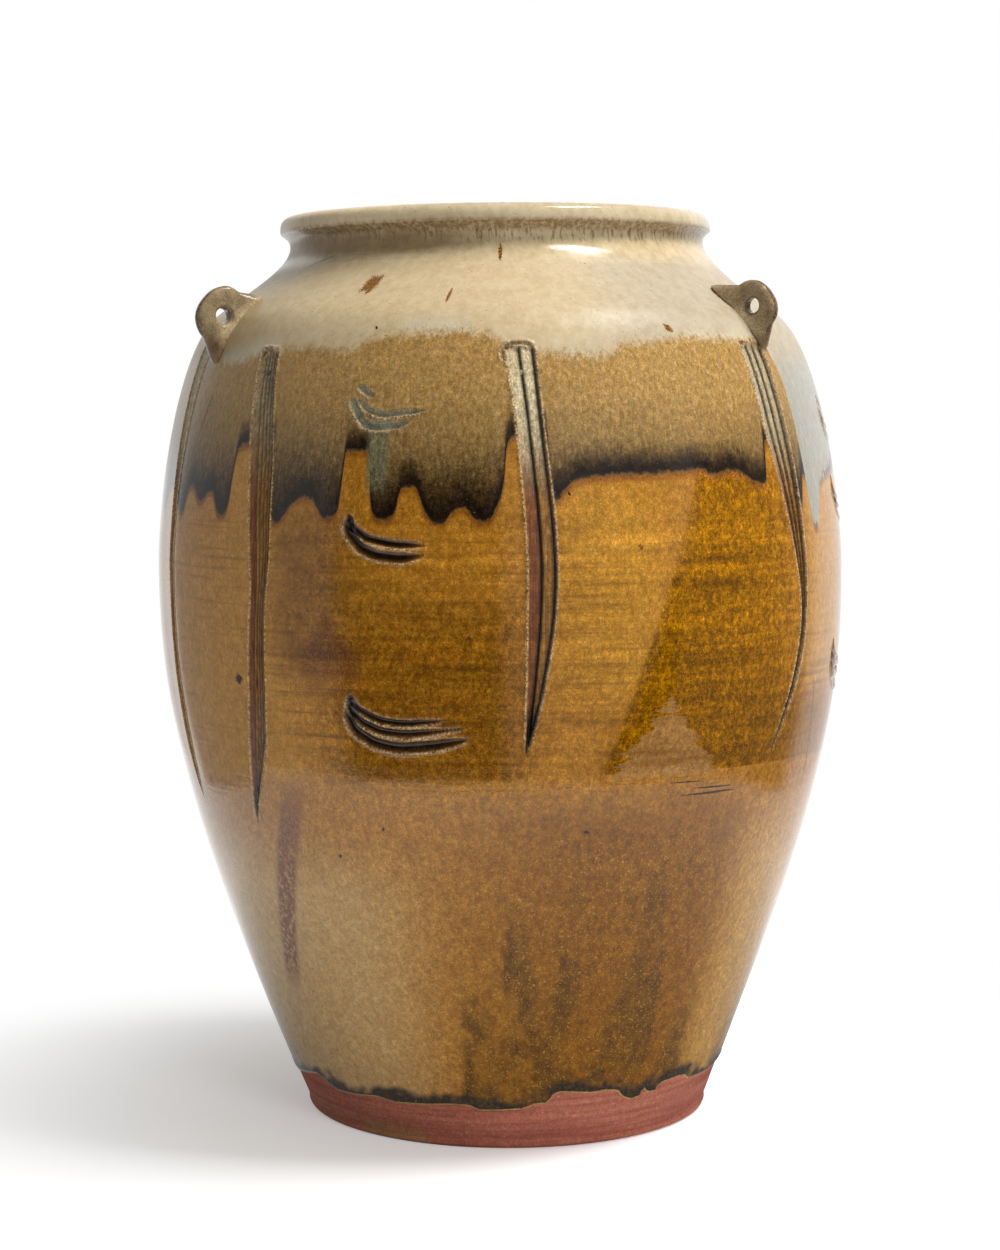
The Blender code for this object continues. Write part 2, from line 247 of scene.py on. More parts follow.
# How far the finer mesh reaches past the marks, and how often it is cut there
STROKE_MARGIN_MM = 4
WIDE_GROUP = 40
TURN_MARGIN = 1.6
STROKE_CUTS = 6
CRESCENT_CUTS = 4

# Edges of the glazes as (azimuth, height): where the cream ends, where the ash band's drips end, where the
# second dip of amber ends, and where all glaze stops short of the foot
CREAM_EDGE_MM = (
    (-90, 320), (-70, 318), (-52, 318), (-46, 321), (-33, 322), (-26, 321), (-23, 324.5), (-18, 326.5),
    (-13, 328), (-8, 329), (-4, 328.5), (0, 325), (2, 322.5), (7, 320.5), (16, 320), (20, 321.5), (22, 324),
    (27, 324.5), (32, 326.5), (38, 327.5), (47, 327), (54, 327), (57.5, 316), (59, 292), (60.3, 262),
    (61.3, 253.5), (63, 253.5), (64.5, 262), (67, 271), (73, 276), (80, 279), (90, 282),
)
DRIP_EDGE_MM = (
    (-90, 262), (-84, 256), (-80, 264), (-75, 258), (-70, 268), (-66, 262), (-63.7, 256), (-60, 268),
    (-56.3, 262), (-53.3, 266.5), (-50, 257), (-48, 261), (-46.5, 284), (-39, 286), (-37.8, 258),
    (-37, 255), (-35, 259), (-33, 264), (-31, 265), (-29, 261), (-27.5, 257), (-25.8, 259), (-25, 268),
    (-24.3, 283), (-20.8, 283), (-20, 264), (-18.8, 257.5), (-17.5, 257), (-16, 260), (-15, 269),
    (-13.5, 270), (-12.2, 266), (-11, 259), (-9, 256), (-7.3, 260), (-5.8, 262), (-4.2, 259), (-2.5, 256.5),
    (-0.6, 261), (0.6, 269), (1.8, 288), (7.2, 290), (8.3, 265), (10, 268.5), (12, 272.4), (18, 273.8),
    (26, 274.5), (33, 275.5), (35.8, 273.6), (39, 275), (42.5, 273), (45, 270), (47.2, 270), (48.5, 286),
    (54.5, 286), (55.8, 262), (57.2, 261), (59, 273), (60.3, 262), (62, 251), (64, 262), (68, 271),
    (74, 273), (82, 277), (90, 280),
)
HEM_EDGE_MM = (
    (-90, 149), (-62, 150), (-30, 155.5), (0, 159), (10, 159.5), (40, 159), (70, 156.5), (90, 155),
)
FOOT_EDGE_MM = (
    (-90, 20), (-80, 17.5), (-72, 17.8), (-57, 22.3), (-52.9, 20), (-49.2, 17.5), (-42, 17.8),
    (-34.4, 19.1), (-29.2, 17.7), (-20.9, 18.4), (-13.4, 19.5), (-9.1, 19.2), (-6.7, 17.3), (-1.2, 17.5),
    (4.3, 18.1), (7.1, 20.1), (10.4, 20.3), (11.6, 24.2), (13.4, 25.2), (21.6, 23.6), (24.8, 24.1),
    (28.8, 23.2), (30.4, 20.1), (33.2, 18.1), (36, 18.8), (37, 22), (38.4, 19.8), (41, 19.8), (42.2, 23),
    (48.2, 23.7), (51.7, 23.4), (54, 21), (64.8, 20.5), (78, 22), (90, 20),
)

# At the foot: how far the bare clay lies back, where that starts, and how thick, high and wide the glaze rolls
FOOT_RECESS = 0.0007
FOOT_RECESS_MM = (0.4, -0.6)
FOOT_ROLL = 0.00025
FOOT_ROLL_MM = (1.3, 1.2)

# Marks in the glaze, each from one (azimuth, height) to another with its half width: brown ones where iron
# came through, and dark cracks, pits and scratches. As shares of the half width: how much their ends taper,
# how much the grain eats into them and where they start and end to show
TRAIL_TAPER = 0.7
TRAIL_RAGGED = 1.6
TRAIL_EDGE = (2.1, 1.4)
IRON_TRAILS_MM = (
    ((-29.2, 345.5), (-26.6, 350.5), 3.4),
    ((-27.6, 343.8), (-27.2, 347.0), 1.2),
    ((-9.9, 340.0), (-9.3, 345.5), 0.7),
    ((0.6, 357.0), (0.9, 363.5), 0.8),
    ((30.9, 331.5), (32.4, 328.8), 1.2),
    ((-5.0, 213.5), (-4.4, 211.5), 1.1),
    ((-14.9, 204.0), (-14.3, 201.5), 0.9),
    ((21.5, 248.0), (21.8, 246.0), 0.9),
    ((-57.5, 305.0), (-60.5, 286.0), 0.9),
    ((62.2, 190.0), (65.7, 143.7), 0.9),
)
DARK_TRAILS_MM = (
    ((-57.1, 278.6), (-55.6, 264.0), 0.6),
    ((-63.3, 350.2), (-55.9, 355.9), 0.35),
    ((-55.9, 355.9), (-46.9, 360.7), 0.35),
    ((-45.9, 194.5), (-45.6, 191.5), 2.2),
    ((-29.3, 125.2), (-29.0, 124.6), 1.0),
    ((-20.4, 137.4), (-19.9, 137.3), 0.7),
    ((30.6, 149.3), (42.0, 149.6), 0.5),
    ((33.0, 151.8), (41.0, 151.5), 0.35),
    ((28.0, 154.8), (34.0, 154.6), 0.3),
    ((13.6, 137.1), (14.4, 136.8), 0.7),
    ((10.5, 268.0), (10.7, 266.5), 0.5),
    ((-22.0, 330.5), (-21.6, 329.5), 0.5),
)

# How high the broad dark runs begin, low on the body
RUN_TOP_MM = (
    (-90, 10), (-60, 20), (-30, 15), (-14, 30), (-9.5, 62), (-7, 86), (-4.5, 70), (-2, 72), (1.5, 112),
    (4.5, 108), (8, 66), (11.5, 104), (14, 112), (16, 84), (18, 46), (21, 54), (24.5, 82), (29, 126),
    (32, 118), (35, 66), (38, 40), (42, 68), (45, 60), (50, 30), (60, 30), (70, 50), (78, 30), (90, 20),
)

# Lugs: where each one sits, how far it slipped, how large it came out and how far its upper tail runs
LUGS = {
    "lug_left": {"azimuth": -60.5, "drop": 0.0020, "size": 1.04, "upper_tail": 0.0170},
    "lug_right": {"azimuth": 55.0, "drop": -0.0012, "size": 0.92, "upper_tail": 0.0215},
    "lug_back": {"azimuth": 177.0, "drop": 0.0, "size": 1.0, "upper_tail": 0.0195},
}
LUG_HEIGHT_SHARE = 0.757
LUG_RING_RADIUS = 0.0100
LUG_THICKNESS = 0.0078
LUG_LOWER_TAIL = 0.0175
LUG_HOLE_RISE = 0.0058
LUG_HOLE_RADIUS = 0.0030
LUG_HOLE_MOUTH_RADIUS = 0.0046
LUG_PINCH = 0.0007
LUG_BLUNTNESS = 2.9
LUG_FLARE_SHARE = 0.50
LUG_TAIL_SPREAD = 34.0
LUG_VOXEL = 0.0004
LUG_SEGMENTS = (120, 48)
LUG_PINCH_SHARES = (0.35, 0.40)
LUG_SOFTENING = 4
LUG_DENT_SIZE = 0.006
LUG_DENT_DEPTH = 0.00022
LUG_EDGE_FACING = (0.75, 0.15)

# Camera, fitted to the outline in the photograph
CAMERA_DISTANCE = 1.1302
CAMERA_HEIGHT = 0.3005
CAMERA_PITCH = 4.78
CAMERA_LENS = 75.77
SENSOR = 36.0

# Table: how far it reaches in reflections and how sharp its edge is there, how far from the jar it turns plain
# white, how it glows, and how bright and how shaded the glaze mirrors it
TABLE_HALF_WIDTH = 0.440
TABLE_HALF_DEPTH = 0.375
TABLE_EDGE = (0.99, 1.01)
TABLE_SHADOW_REACH = (0.10, 0.33)
TABLE_GLOW = 0.30
TABLE_SHEEN = {"From Min": 0.12, "From Max": 0.34, "To Min": 0.28, "To Max": 1.25}
TABLE_SHADE = {"From Min": -0.05, "From Max": 0.25, "To Min": 1.0, "To Max": 0.95}
FLOOR_SIZE = 12.0

# Lamps as azimuth, elevation, distance, size, power and whether the glaze mirrors them
LAMPS = {
    "key_softbox": (77, 64, 1.7, (0.80, 0.56), 28, False),
    "key_lamp_face": (73, 65, 1.7, (0.66, 0.26), 8, True),
    "fill_panel": (28, 14, 2.2, (0.8, 0.8), 12, False),
}

# What the glaze mirrors of the studio: a dim room with pale walls, each from one azimuth to another with a
# soft edge, or beginning between two of them, and its brightness; and a panel with a slanted edge
SKY_LEVEL = 0.24
DIM_ROOM = 0.02
PALE_WALLS = (
    ((-150, -56, 4), 0.45),
    ((60, 130, 3), 0.15),
    ((-136, -142), 1.0),
    ((118, 134), 1.0),
)
PANEL_LEVEL = 0.36
PANEL_LEFT = (-2, 4)
PANEL_SLANT = -46.0
PANEL_RIGHT = (61, 59)
CEILING = {"From Min": 0.40, "From Max": 0.75, "To Min": 1.0, "To Max": 0.2}


def smooth(low, high, value):
    """0 below low and 1 above high, with an eased step between them."""
    share = np.clip((value - low) / (high - low), 0, 1)
    return share * share * (3 - 2 * share)


def hump(value):
    """1 at zero, falling away on both sides."""
    return np.exp(-value ** 2)


def bezier(start, start_handle, end_handle, end, steps):
    corners = [Vector((p[0], p[1], 0)) for p in (start, start_handle, end_handle, end)]
    return [(p.x, p.y) for p in interpolate_bezier(*corners, steps + 1)]


def along(point, slope, length):
    """The point that lies this far up a line which loses slope of radius for each unit of height."""
    step = length / math.hypot(slope, 1.0)
    return (point[0] - slope * step, point[1] + step)


def outer_wall():
    """Radii and heights of the thrown outside, from the foot to the waist of the neck."""
    foot = (FOOT_RADIUS, 0.0)
    belly = (BELLY_RADIUS, BELLY_HEIGHT)
    turn = (
        NECK_RADIUS + TURN_RADIUS_SHARE * (BELLY_RADIUS - NECK_RADIUS),
        BELLY_HEIGHT + TURN_HEIGHT_SHARE * SHOULDER_RISE,
    )
    waist = (NECK_RADIUS, BELLY_HEIGHT + SHOULDER_RISE)
    rounded = turn[1] - belly[1]
    hollow = waist[1] - turn[1]
    lines = (
        (foot, along(foot, -FOOT_SLOPE, BASE_HANDLE_SHARES[0] * BELLY_HEIGHT),
         (BELLY_RADIUS, BELLY_HEIGHT - BASE_HANDLE_SHARES[1] * BELLY_HEIGHT), belly),
        (belly, (BELLY_RADIUS, BELLY_HEIGHT + ROUND_HANDLE_SHARES[0] * rounded),
         along(turn, TURN_SLOPE, -ROUND_HANDLE_SHARES[1] * rounded), turn),
        (turn, along(turn, TURN_SLOPE, HOLLOW_HANDLE_SHARES[0] * hollow),
         (NECK_RADIUS, waist[1] - HOLLOW_HANDLE_SHARES[1] * hollow), waist),
    )
    points = [foot]
    for line in lines:
        points += bezier(*line, CURVE_STEPS)[1:]
    return np.array(points).T


WALL_RADII, WALL_HEIGHTS = outer_wall()
WALL_RUN = np.gradient(np.stack([WALL_RADII, WALL_HEIGHTS]), axis=1)
WALL_RUN = WALL_RUN / np.hypot(*WALL_RUN)
INNER_RADII = WALL_RADII - WALL * WALL_RUN[1]
INNER_HEIGHTS = WALL_HEIGHTS + WALL * WALL_RUN[0]
WALL_LENGTHS = np.concatenate([[0.0], np.cumsum(np.hypot(np.diff(WALL_RADII), np.diff(WALL_HEIGHTS)))])


def wall_radius(height):
    return np.interp(height, WALL_HEIGHTS, WALL_RADII)


def inner_radius(height):
    return np.interp(height, INNER_HEIGHTS, INNER_RADII)


def flowing(points):
    """A line through (position, value) points that run downwards, with its corners eased."""
    places = np.array([p[0] for p in reversed(points)], float)
    values = np.array([p[1] for p in reversed(points)], float)
    grid = np.arange(places[0], places[-1] + 1)
    line = np.interp(grid, places, values)
    before = 2 * line[0] - line[EASE_MM:0:-1]
    after = 2 * line[-1] - line[-2:-EASE_MM - 2:-1]
    window = np.ones(2 * EASE_MM + 1) / (2 * EASE_MM + 1)
    return grid, np.convolve(np.concatenate([before, line, after]), window, "valid")


LEAN = flowing(LEAN_MM)


def slumped(places):
    """The thrown places as the fired jar has them: it leans a little, and its rim tips to one side."""
    moved = places.copy()
    height = places[:, 2]
    moved[:, 0] += np.interp(height / MM, *LEAN) * MM
    tip = smooth(*RIM_TILT_SPAN, height)
    moved[:, 2] += RIM_TILT * tip * places[:, 0]
    return moved


def rows(spans, low, high):
    """Heights of the mesh's rows between two joints or edges, in metres."""
    heights = []
    for start, end, step in spans:
        heights += list(np.arange(max(start * MM, low), min(end * MM, high), step * MM))
    inside = [h for h in heights if low + 2 * THIN_ROW < h < high - 2 * THIN_ROW]
    return [low, low + THIN_ROW] + inside + [high - THIN_ROW, high]


def arc(centre, radius, start, end, steps):
    turns = [math.radians(start + (end - start) * i / steps) for i in range(steps + 1)]
    return [(centre[0] + radius * math.cos(a), centre[1] + radius * math.sin(a)) for a in turns]


def spun(profile, steps, axis):
    """A solid spun from its profile, which runs up its outer side or from end to end of its axis."""
    mesh = bmesh.new()
    points = [mesh.verts.new(Vector((radius, 0, 0)) + axis * float(way)) for radius, way in profile]
    edges = [mesh.edges.new(pair) for pair in zip(points, points[1:])]
    if profile[0][0] > 0:
        edges.append(mesh.edges.new((points[-1], points[0])))
    bmesh.ops.spin(
        mesh, geom=points + edges, axis=axis, cent=(0, 0, 0), angle=math.tau, steps=steps, use_merge=True,
    )
    bmesh.ops.remove_doubles(mesh, verts=mesh.verts, dist=THIN_ROW / 20)
    bmesh.ops.recalc_face_normals(mesh, faces=mesh.faces)
    return mesh


def folded(azimuth):
    """Azimuths behind the widest point, folded to the front."""
    return np.degrees(np.arcsin(np.sin(np.radians(azimuth))))


def refine(mesh):
    """Makes the mesh finer where the comb was drawn: across the strokes, and both ways at the crescents."""
    edges = list(mesh.edges)
    ends = np.array([[vert.co[:] for vert in edge.verts] for edge in edges])
    middle = ends.mean(axis=1)
    level = np.abs(ends[:, 0, 2] - ends[:, 1, 2]) < THIN_ROW / 2
    azimuth = np.degrees(np.arctan2(middle[:, 0], -middle[:, 1]))
    fold = folded(azimuth)
    height = middle[:, 2] / MM
    outside = np.hypot(middle[:, 0], middle[:, 1]) > wall_radius(middle[:, 2]) - WALL / 4
    across = np.zeros(len(edges), bool)
    both = np.zeros(len(edges), bool)
    for stroke in STROKES:
        turns = [p[1] for p in stroke["left"] + stroke["right"]]
        tall = height > stroke["left"][-1][0] - STROKE_MARGIN_MM
        tall &= height < stroke["left"][0][0] + STROKE_MARGIN_MM
        across |= level & tall & (fold > min(turns) - TURN_MARGIN) & (fold < max(turns) + TURN_MARGIN)
    for group in CRESCENTS:
        heights = [p[1] for line in group["lines"] for p in line[0]]
        turns = [p[0] for line in group["lines"] for p in line[0]]
        lifts = [lift for _, lift in group["turns"]]
        tall = height > min(heights) + min(lifts) - STROKE_MARGIN_MM
        tall &= height < max(heights) + max(lifts) + STROKE_MARGIN_MM
        spans = [(min(turns), max(turns))]
        if max(turns) - min(turns) > WIDE_GROUP:
            spans = [(min(p[0] for p in line[0]), max(p[0] for p in line[0])) for line in group["lines"]]
        for turn, lift in group["turns"]:
            aside = (azimuth - turn + 180) % 360 - 180
            level_with = tall & (height - lift > min(heights) - STROKE_MARGIN_MM) if lift > 0 else tall
            for first, last in spans:
                both |= level_with & (aside > first - TURN_MARGIN) & (aside < last + TURN_MARGIN)
    for chosen, cuts in ((across & ~both, STROKE_CUTS), (both, CRESCENT_CUTS)):
        picked = [edges[i] for i in np.flatnonzero(chosen & outside)]
        if picked:
            bmesh.ops.subdivide_edges(mesh, edges=picked, cuts=cuts, use_grid_fill=True)


def draw_stroke(stroke, fold, height, radius, marks):
    """One long stroke of the comb: its strips slope down to a line and rise again, with a burr beside it."""
    high = stroke["left"][0][0]
    low = stroke["left"][-1][0]
    left = np.interp(height, *flowing(stroke["left"]))
    right = np.interp(height, *flowing(stroke["right"]))
    across = np.radians(fold - left) * radius / MM
    width = np.maximum(np.radians(right - left) * radius / MM, THINNEST_MM)
    bite = np.clip(width / TOOTH_MM, 0, 1)
    bite = bite * smooth(high, high - STROKE_START_MM, height) * smooth(low - 1, low + 1, height)
    depth = np.zeros_like(across)
    pool = np.zeros_like(across)
    edges = (0.0,) + stroke["lines"]
    for start, end in zip(edges, edges[1:]):
        way = across - start * width
        strip = (end - start) * width
        slope = np.clip(way / strip, 0, 1) ** STROKE_SLOPE_POWER
        floor = STROKE_SHALLOW_SHARE + (1 - STROKE_SHALLOW_SHARE) * slope
        if start > 0:
            floor = np.maximum(floor, 1 - (1 - STROKE_SHALLOW_SHARE) * np.clip(way / RISE_MM, 0, 1))
        depth = np.where((way >= 0) & (way <= strip), floor, depth)
        pool += hump((way - strip) / stroke["pool"])
    way = across - edges[-1] * width
    shelf = STROKE_SHALLOW_SHARE if edges[-1] < 1 else 0.0
    shelf = np.maximum(shelf * (across < width), 1 - np.clip(way / RISE_MM, 0, 1))
    depth = np.where(way > 0, shelf, depth)
    depth *= np.clip(across / STROKE_EDGE_MM, 0, 1)
    past = across - width
    burr = hump((across + BURR_MM) / BURR_MM) + hump((past - FAR_BURR_SHARE * BURR_MM) / BURR_MM)
    start_burr = hump((height - high - START_BURR_MM) / START_BURR_MM)
    start_burr *= smooth(-1.0, 0.5, across) * smooth(1.0, -0.5, past)
    inside = np.clip(across / STROKE_SOFT_MM, 0, 1) * np.clip(-past / STROKE_SOFT_MM, 0, 1)
    first = smooth(STROKE_SOFT_MM, -STROKE_SOFT_MM, across - stroke["bare"] * width)
    tip = smooth(low + TIP_MM, low, height)
    marks["depth"] += STROKE_DEPTH * depth * bite - BURR * (burr * bite + start_burr)
    marks["pooled"] += pool * bite + inside * tip
    marks["broken"] += burr * bite + start_burr
    marks["drawn"] += inside * bite
    marks["pale"] += inside * bite * stroke["pale"]
    marks["bare"] += inside * bite * first


def draw_line(points, half_width, depth, group, turn, azimuth, height, radius, marks):
    """One line of a crescent: a groove that swells and tapers, with a burr along its lower side."""
    path = np.array(points, float)
    steps = np.linspace(0, len(path) - 1, LINE_STEPS)
    knots = np.arange(len(path))
    line = np.stack([np.interp(steps, knots, path[:, 0]), np.interp(steps, knots, path[:, 1])])
    for _ in range(LINE_EASING):
        line[:, 1:-1] = (line[:, :-2] + 2 * line[:, 1:-1] + line[:, 2:]) / 4
        line[:, 2:-2] = (line[:, :-4] + 2 * line[:, 2:-2] + line[:, 4:]) / 4
    aside = (azimuth - turn + 180) % 360 - 180
    near = np.ones(len(azimuth), bool)
    for values, course, margin in zip((aside, height), path.T, LINE_MARGINS):
        near &= (values > course.min() - margin) & (values < course.max() + margin)
    spots = np.flatnonzero(near)
    if not len(spots):
        return
    sideways = np.radians(aside[spots, None] - line[0]) * radius[spots, None] / MM
    upwards = height[spots, None] - line[1]
    gap = np.hypot(sideways, upwards)
    nearest = gap.argmin(axis=1)
    share = nearest / (line.shape[1] - 1)
    distance = gap[np.arange(len(spots)), nearest]
    below = upwards[np.arange(len(spots)), nearest] < 0
    taper = np.ones(len(spots))
    for way, (length, power) in zip((share, 1 - share), LINE_TAPERS):
        taper *= np.clip(way / length, 0, 1) ** power
    reach = np.maximum(LINE_REACH * half_width * taper, SHORTEST_REACH_MM)
    groove = np.clip(1 - (distance / reach) ** 2, 0, 1) * taper
    burr = hump((distance - reach - LINE_BURR_MM[0]) / LINE_BURR_MM[1])
    burr *= np.where(below, 1.0, UPPER_BURR_SHARE) * taper
    marks["depth"][spots] += depth * MM * groove - BURR * burr
    marks["milky" if group["milky"] else "pooled"][spots] += group["pool"] * groove ** LINE_POOL_POWER
    marks["broken"][spots] += burr


def foot_distance(fold, height):
    """How far above the glaze's lower edge a place lies, in millimetres."""
    edge = np.array(FOOT_EDGE_MM, float)
    return height - np.interp(fold, edge[:, 0], edge[:, 1])


def unevenness(places):
    """How far the wall stands in or out by the potter's hand: broad dents and faint rings."""
    grown = []
    for x, y, z in places:
        broad = noise.noise(Vector((x / DENT_SIZE[0], y / DENT_SIZE[0], z / DENT_SIZE[1])))
        ring = noise.noise(Vector((x / RING_SIZE[0] + RING_SHIFT, y / RING_SIZE[0], z / RING_SIZE[1])))
        grown.append(DENT_DEPTH * broad + RING_DEPTH * ring)
    return np.array(grown)


def settled(mesh, name):
    """The mesh's data, once no more work is done on it."""
    data = bpy.data.meshes.new(name)
    mesh.to_mesh(data)
    mesh.free()
    return data


def linked(name, data):
    """An object in the scene."""
    item = bpy.data.objects.new(name, data)
    bpy.context.collection.objects.link(item)
    return item


def read_places(data):
    places = np.empty(len(data.vertices) * 3)
    data.vertices.foreach_get("co", places)
    return places.reshape(-1, 3)


def finish_wall(mesh, name, material):
    """Draws the marks into a spun wall, slumps it and puts it in place of its solid."""
    data = settled(mesh, name)
    places = read_places(data)
    across = np.hypot(places[:, 0], places[:, 1])
    azimuth = np.degrees(np.arctan2(places[:, 0], -places[:, 1]))
    height = places[:, 2] / MM
    outside = (across > wall_radius(places[:, 2]) - WALL / 4) & (places[:, 2] > FOOT_EDGE - THIN_ROW)
    below_neck = outside & (places[:, 2] < WALL_HEIGHTS[-1])
    true = np.where(below_neck, wall_radius(places[:, 2]) / np.maximum(across, MM), 1.0)
    places[:, :2] *= true[:, None]
    marks = {mark: np.zeros(len(places)) for mark in ("depth",) + MARKS}
    radius = wall_radius(places[:, 2])
    fold = folded(azimuth)
    for stroke in STROKES:
        draw_stroke(stroke, fold, height, radius, marks)
    for group in CRESCENTS:
        for points, half_width, depth in group["lines"]:
            for turn, lift in group["turns"]:
                draw_line(points, half_width, depth, group, turn, azimuth, height - lift, radius, marks)
    foot = foot_distance(fold, height)
    marks["depth"] += FOOT_RECESS * smooth(*FOOT_RECESS_MM, foot)
    marks["depth"] -= FOOT_ROLL * hump((foot - FOOT_ROLL_MM[0]) / FOOT_ROLL_MM[1])
    marks["depth"] -= unevenness(places)
    marks["depth"] *= outside
    lean = np.gradient(WALL_RADII, WALL_HEIGHTS)
    slope = np.where(below_neck, np.interp(places[:, 2], WALL_HEIGHTS, lean), 0.0)
    out = np.stack([places[:, 0], places[:, 1], -slope * radius], axis=1)
    out /= np.maximum(np.linalg.norm(out, axis=1), THIN_ROW)[:, None]
    carved = places - out * marks["depth"][:, None]
    fired = slumped(carved)
    data.vertices.foreach_set("co", fired.ravel())
    data.attributes.new("thrown", "FLOAT_VECTOR", "POINT").data.foreach_set("vector", places.ravel())
    marks["inside"] = 1.0 - outside
    for mark in MARKS:
        data.attributes.new(mark, "FLOAT", "POINT").data.foreach_set("value", np.clip(marks[mark], 0, 1))
    data.attributes.new("foot", "FLOAT", "POINT").data.foreach_set("value", foot)
    placed(data, name, name + "_glazed", material)


def placed(data, node, name, material):
    """Puts a finished mesh in the scene in place of a solid."""
    item = linked(name, data)
    data.materials.clear()
    data.materials.append(material)
    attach(item, "root")
    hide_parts(node)


def profile_of(radius, heights):
    """A wall's profile: its radius at each of these heights."""
    return [(float(radius(height)), height) for height in heights]


def crease_joints(mesh, heights):
    """Keeps the joint faces from softening the wall's shading beside them."""
    for face in mesh.faces:
        face.smooth = True
    for edge in mesh.edges:
        ends = [vert.co.z for vert in edge.verts]
        for height in heights:
            if max(abs(z - height) for z in ends) < THIN_ROW / 10:
                edge.smooth = False


def key(height):
    """The V in the middle of the wall where two sections are luted together."""
    return (float(wall_radius(height) + inner_radius(height)) / 2, height - KEY_DEPTH)


def base_section(material):
    """The lower half of the body with its floor."""
    wall = profile_of(wall_radius, rows(BASE_ROWS_MM, FOOT_EDGE, BELLY_HEIGHT))
    edge = arc((wall[0][0] - FOOT_EDGE, FOOT_EDGE), FOOT_EDGE, -90, 0, FOOT_EDGE_STEPS)
    bottom = FLOOR + FLOOR_FILLET
    hollow = profile_of(inner_radius, [*np.arange(bottom, BELLY_HEIGHT - THIN_ROW, INNER_STEP), BELLY_HEIGHT])
    fillet = arc((hollow[0][0] - FLOOR_FILLET, bottom), FLOOR_FILLET, 0, -90, FILLET_STEPS)
    ring = [(share * edge[0][0], 0.0) for share in UNDERSIDE_SHARES]
    floor = [(share * fillet[-1][0], FLOOR) for share in FLOOR_SHARES]
    outline = ring + edge + wall[1:] + [key(BELLY_HEIGHT)] + hollow[::-1] + fillet[1:] + floor
    mesh = spun(outline, TURNS, UP)
    refine(mesh)
    crease_joints(mesh, [BELLY_HEIGHT])
    finish_wall(mesh, "base_section", material)


def shoulder_section(material):
    """The upper half of the body, from the widest part to the opening for the neck."""
    wall = profile_of(wall_radius, rows(UPPER_ROWS_MM, BELLY_HEIGHT, NECK_JOINT))
    steps = round((NECK_JOINT - BELLY_HEIGHT) / INNER_STEP)
    hollow = profile_of(inner_radius, np.linspace(BELLY_HEIGHT, NECK_JOINT, steps))
    mesh = spun(wall + [key(NECK_JOINT)] + hollow[::-1] + [key(BELLY_HEIGHT)], TURNS, UP)
    refine(mesh)
    crease_joints(mesh, [BELLY_HEIGHT, NECK_JOINT])
    finish_wall(mesh, "shoulder_section", material)


def neck_and_rim(material):
    """The collar with its rolled lip."""
    waist = (NECK_RADIUS, WALL_HEIGHTS[-1])
    wall = profile_of(wall_radius, rows(NECK_ROWS_MM, NECK_JOINT, waist[1] - THIN_ROW))
    inner = NECK_RADIUS - WALL
    width = WALL + LIP_OVERHANG
    bottom = RIM_TOP - RIM_DROP - LIP_THICKNESS
    lip = [(inner + LIP_START_SHARES[0] * width, bottom + LIP_START_SHARES[1] * LIP_THICKNESS)]
    rise = lip[0][1] - waist[1]
    throat = bezier(
        waist,
        (waist[0], waist[1] + THROAT_HANDLE_SHARES[0] * rise),
        (lip[0][0] - THROAT_HANDLE_SHARES[1] * rise, lip[0][1] - THROAT_HANDLE_SHARES[1] * rise),
        lip[0],
        LIP_STEPS,
    )
    for turn in LIP_CURVE_SHARES:
        corners = [(inner + a * width, bottom + b * LIP_THICKNESS) for a, b in turn]
        lip += bezier(lip[-1], *corners, LIP_STEPS)[1:]
    inside = profile_of(inner_radius, np.linspace(NECK_JOINT, INNER_HEIGHTS[-1], INNER_NECK_ROWS))
    mesh = spun(wall + throat + lip[1:] + inside[::-1] + [key(NECK_JOINT)], TURNS, UP)
    crease_joints(mesh, [NECK_JOINT])
    finish_wall(mesh, "neck_and_rim", material)


def ear_reach(angle, upper_tail):
    """How far the lug reaches from the middle of its hole: a ring with a tail up and down the wall."""
    reach = np.full_like(angle, LUG_RING_RADIUS)
    for way in (-upper_tail, LUG_LOWER_TAIL):
        tail = math.atan2(-LUG_HOLE_RISE, way)
        aside = np.abs((angle - tail + math.pi) % math.tau - math.pi) / math.radians(LUG_TAIL_SPREAD)
        tip = math.hypot(LUG_HOLE_RISE, way)
        reach += (tip - LUG_RING_RADIUS) * np.maximum(0.0, 1 - aside) ** 2
    return reach


def on_wall(way, rise, across, lug_sizes):
    """Places from their way down the wall, their rise off it and their way across the lug."""
    foot = BELLY_HEIGHT + LUG_HEIGHT_SHARE * SHOULDER_RISE - lug_sizes["drop"]
    start = np.interp(foot, WALL_HEIGHTS, WALL_LENGTHS)
    length = start - way
    radius = np.interp(length, WALL_LENGTHS, WALL_RADII)
    height = np.interp(length, WALL_LENGTHS, WALL_HEIGHTS)
    run_r = np.interp(length, WALL_LENGTHS, WALL_RUN[0])
    run_z = np.interp(length, WALL_LENGTHS, WALL_RUN[1])
    out = radius + run_z * rise
    up = height - run_r * rise
    turn = math.radians(lug_sizes["azimuth"])
    tangent = np.array([math.cos(turn), math.sin(turn)])
    radial = np.array([math.sin(turn), -math.cos(turn)])
    flat = out[:, None] * radial + across[:, None] * tangent
    return np.column_stack([flat, up])


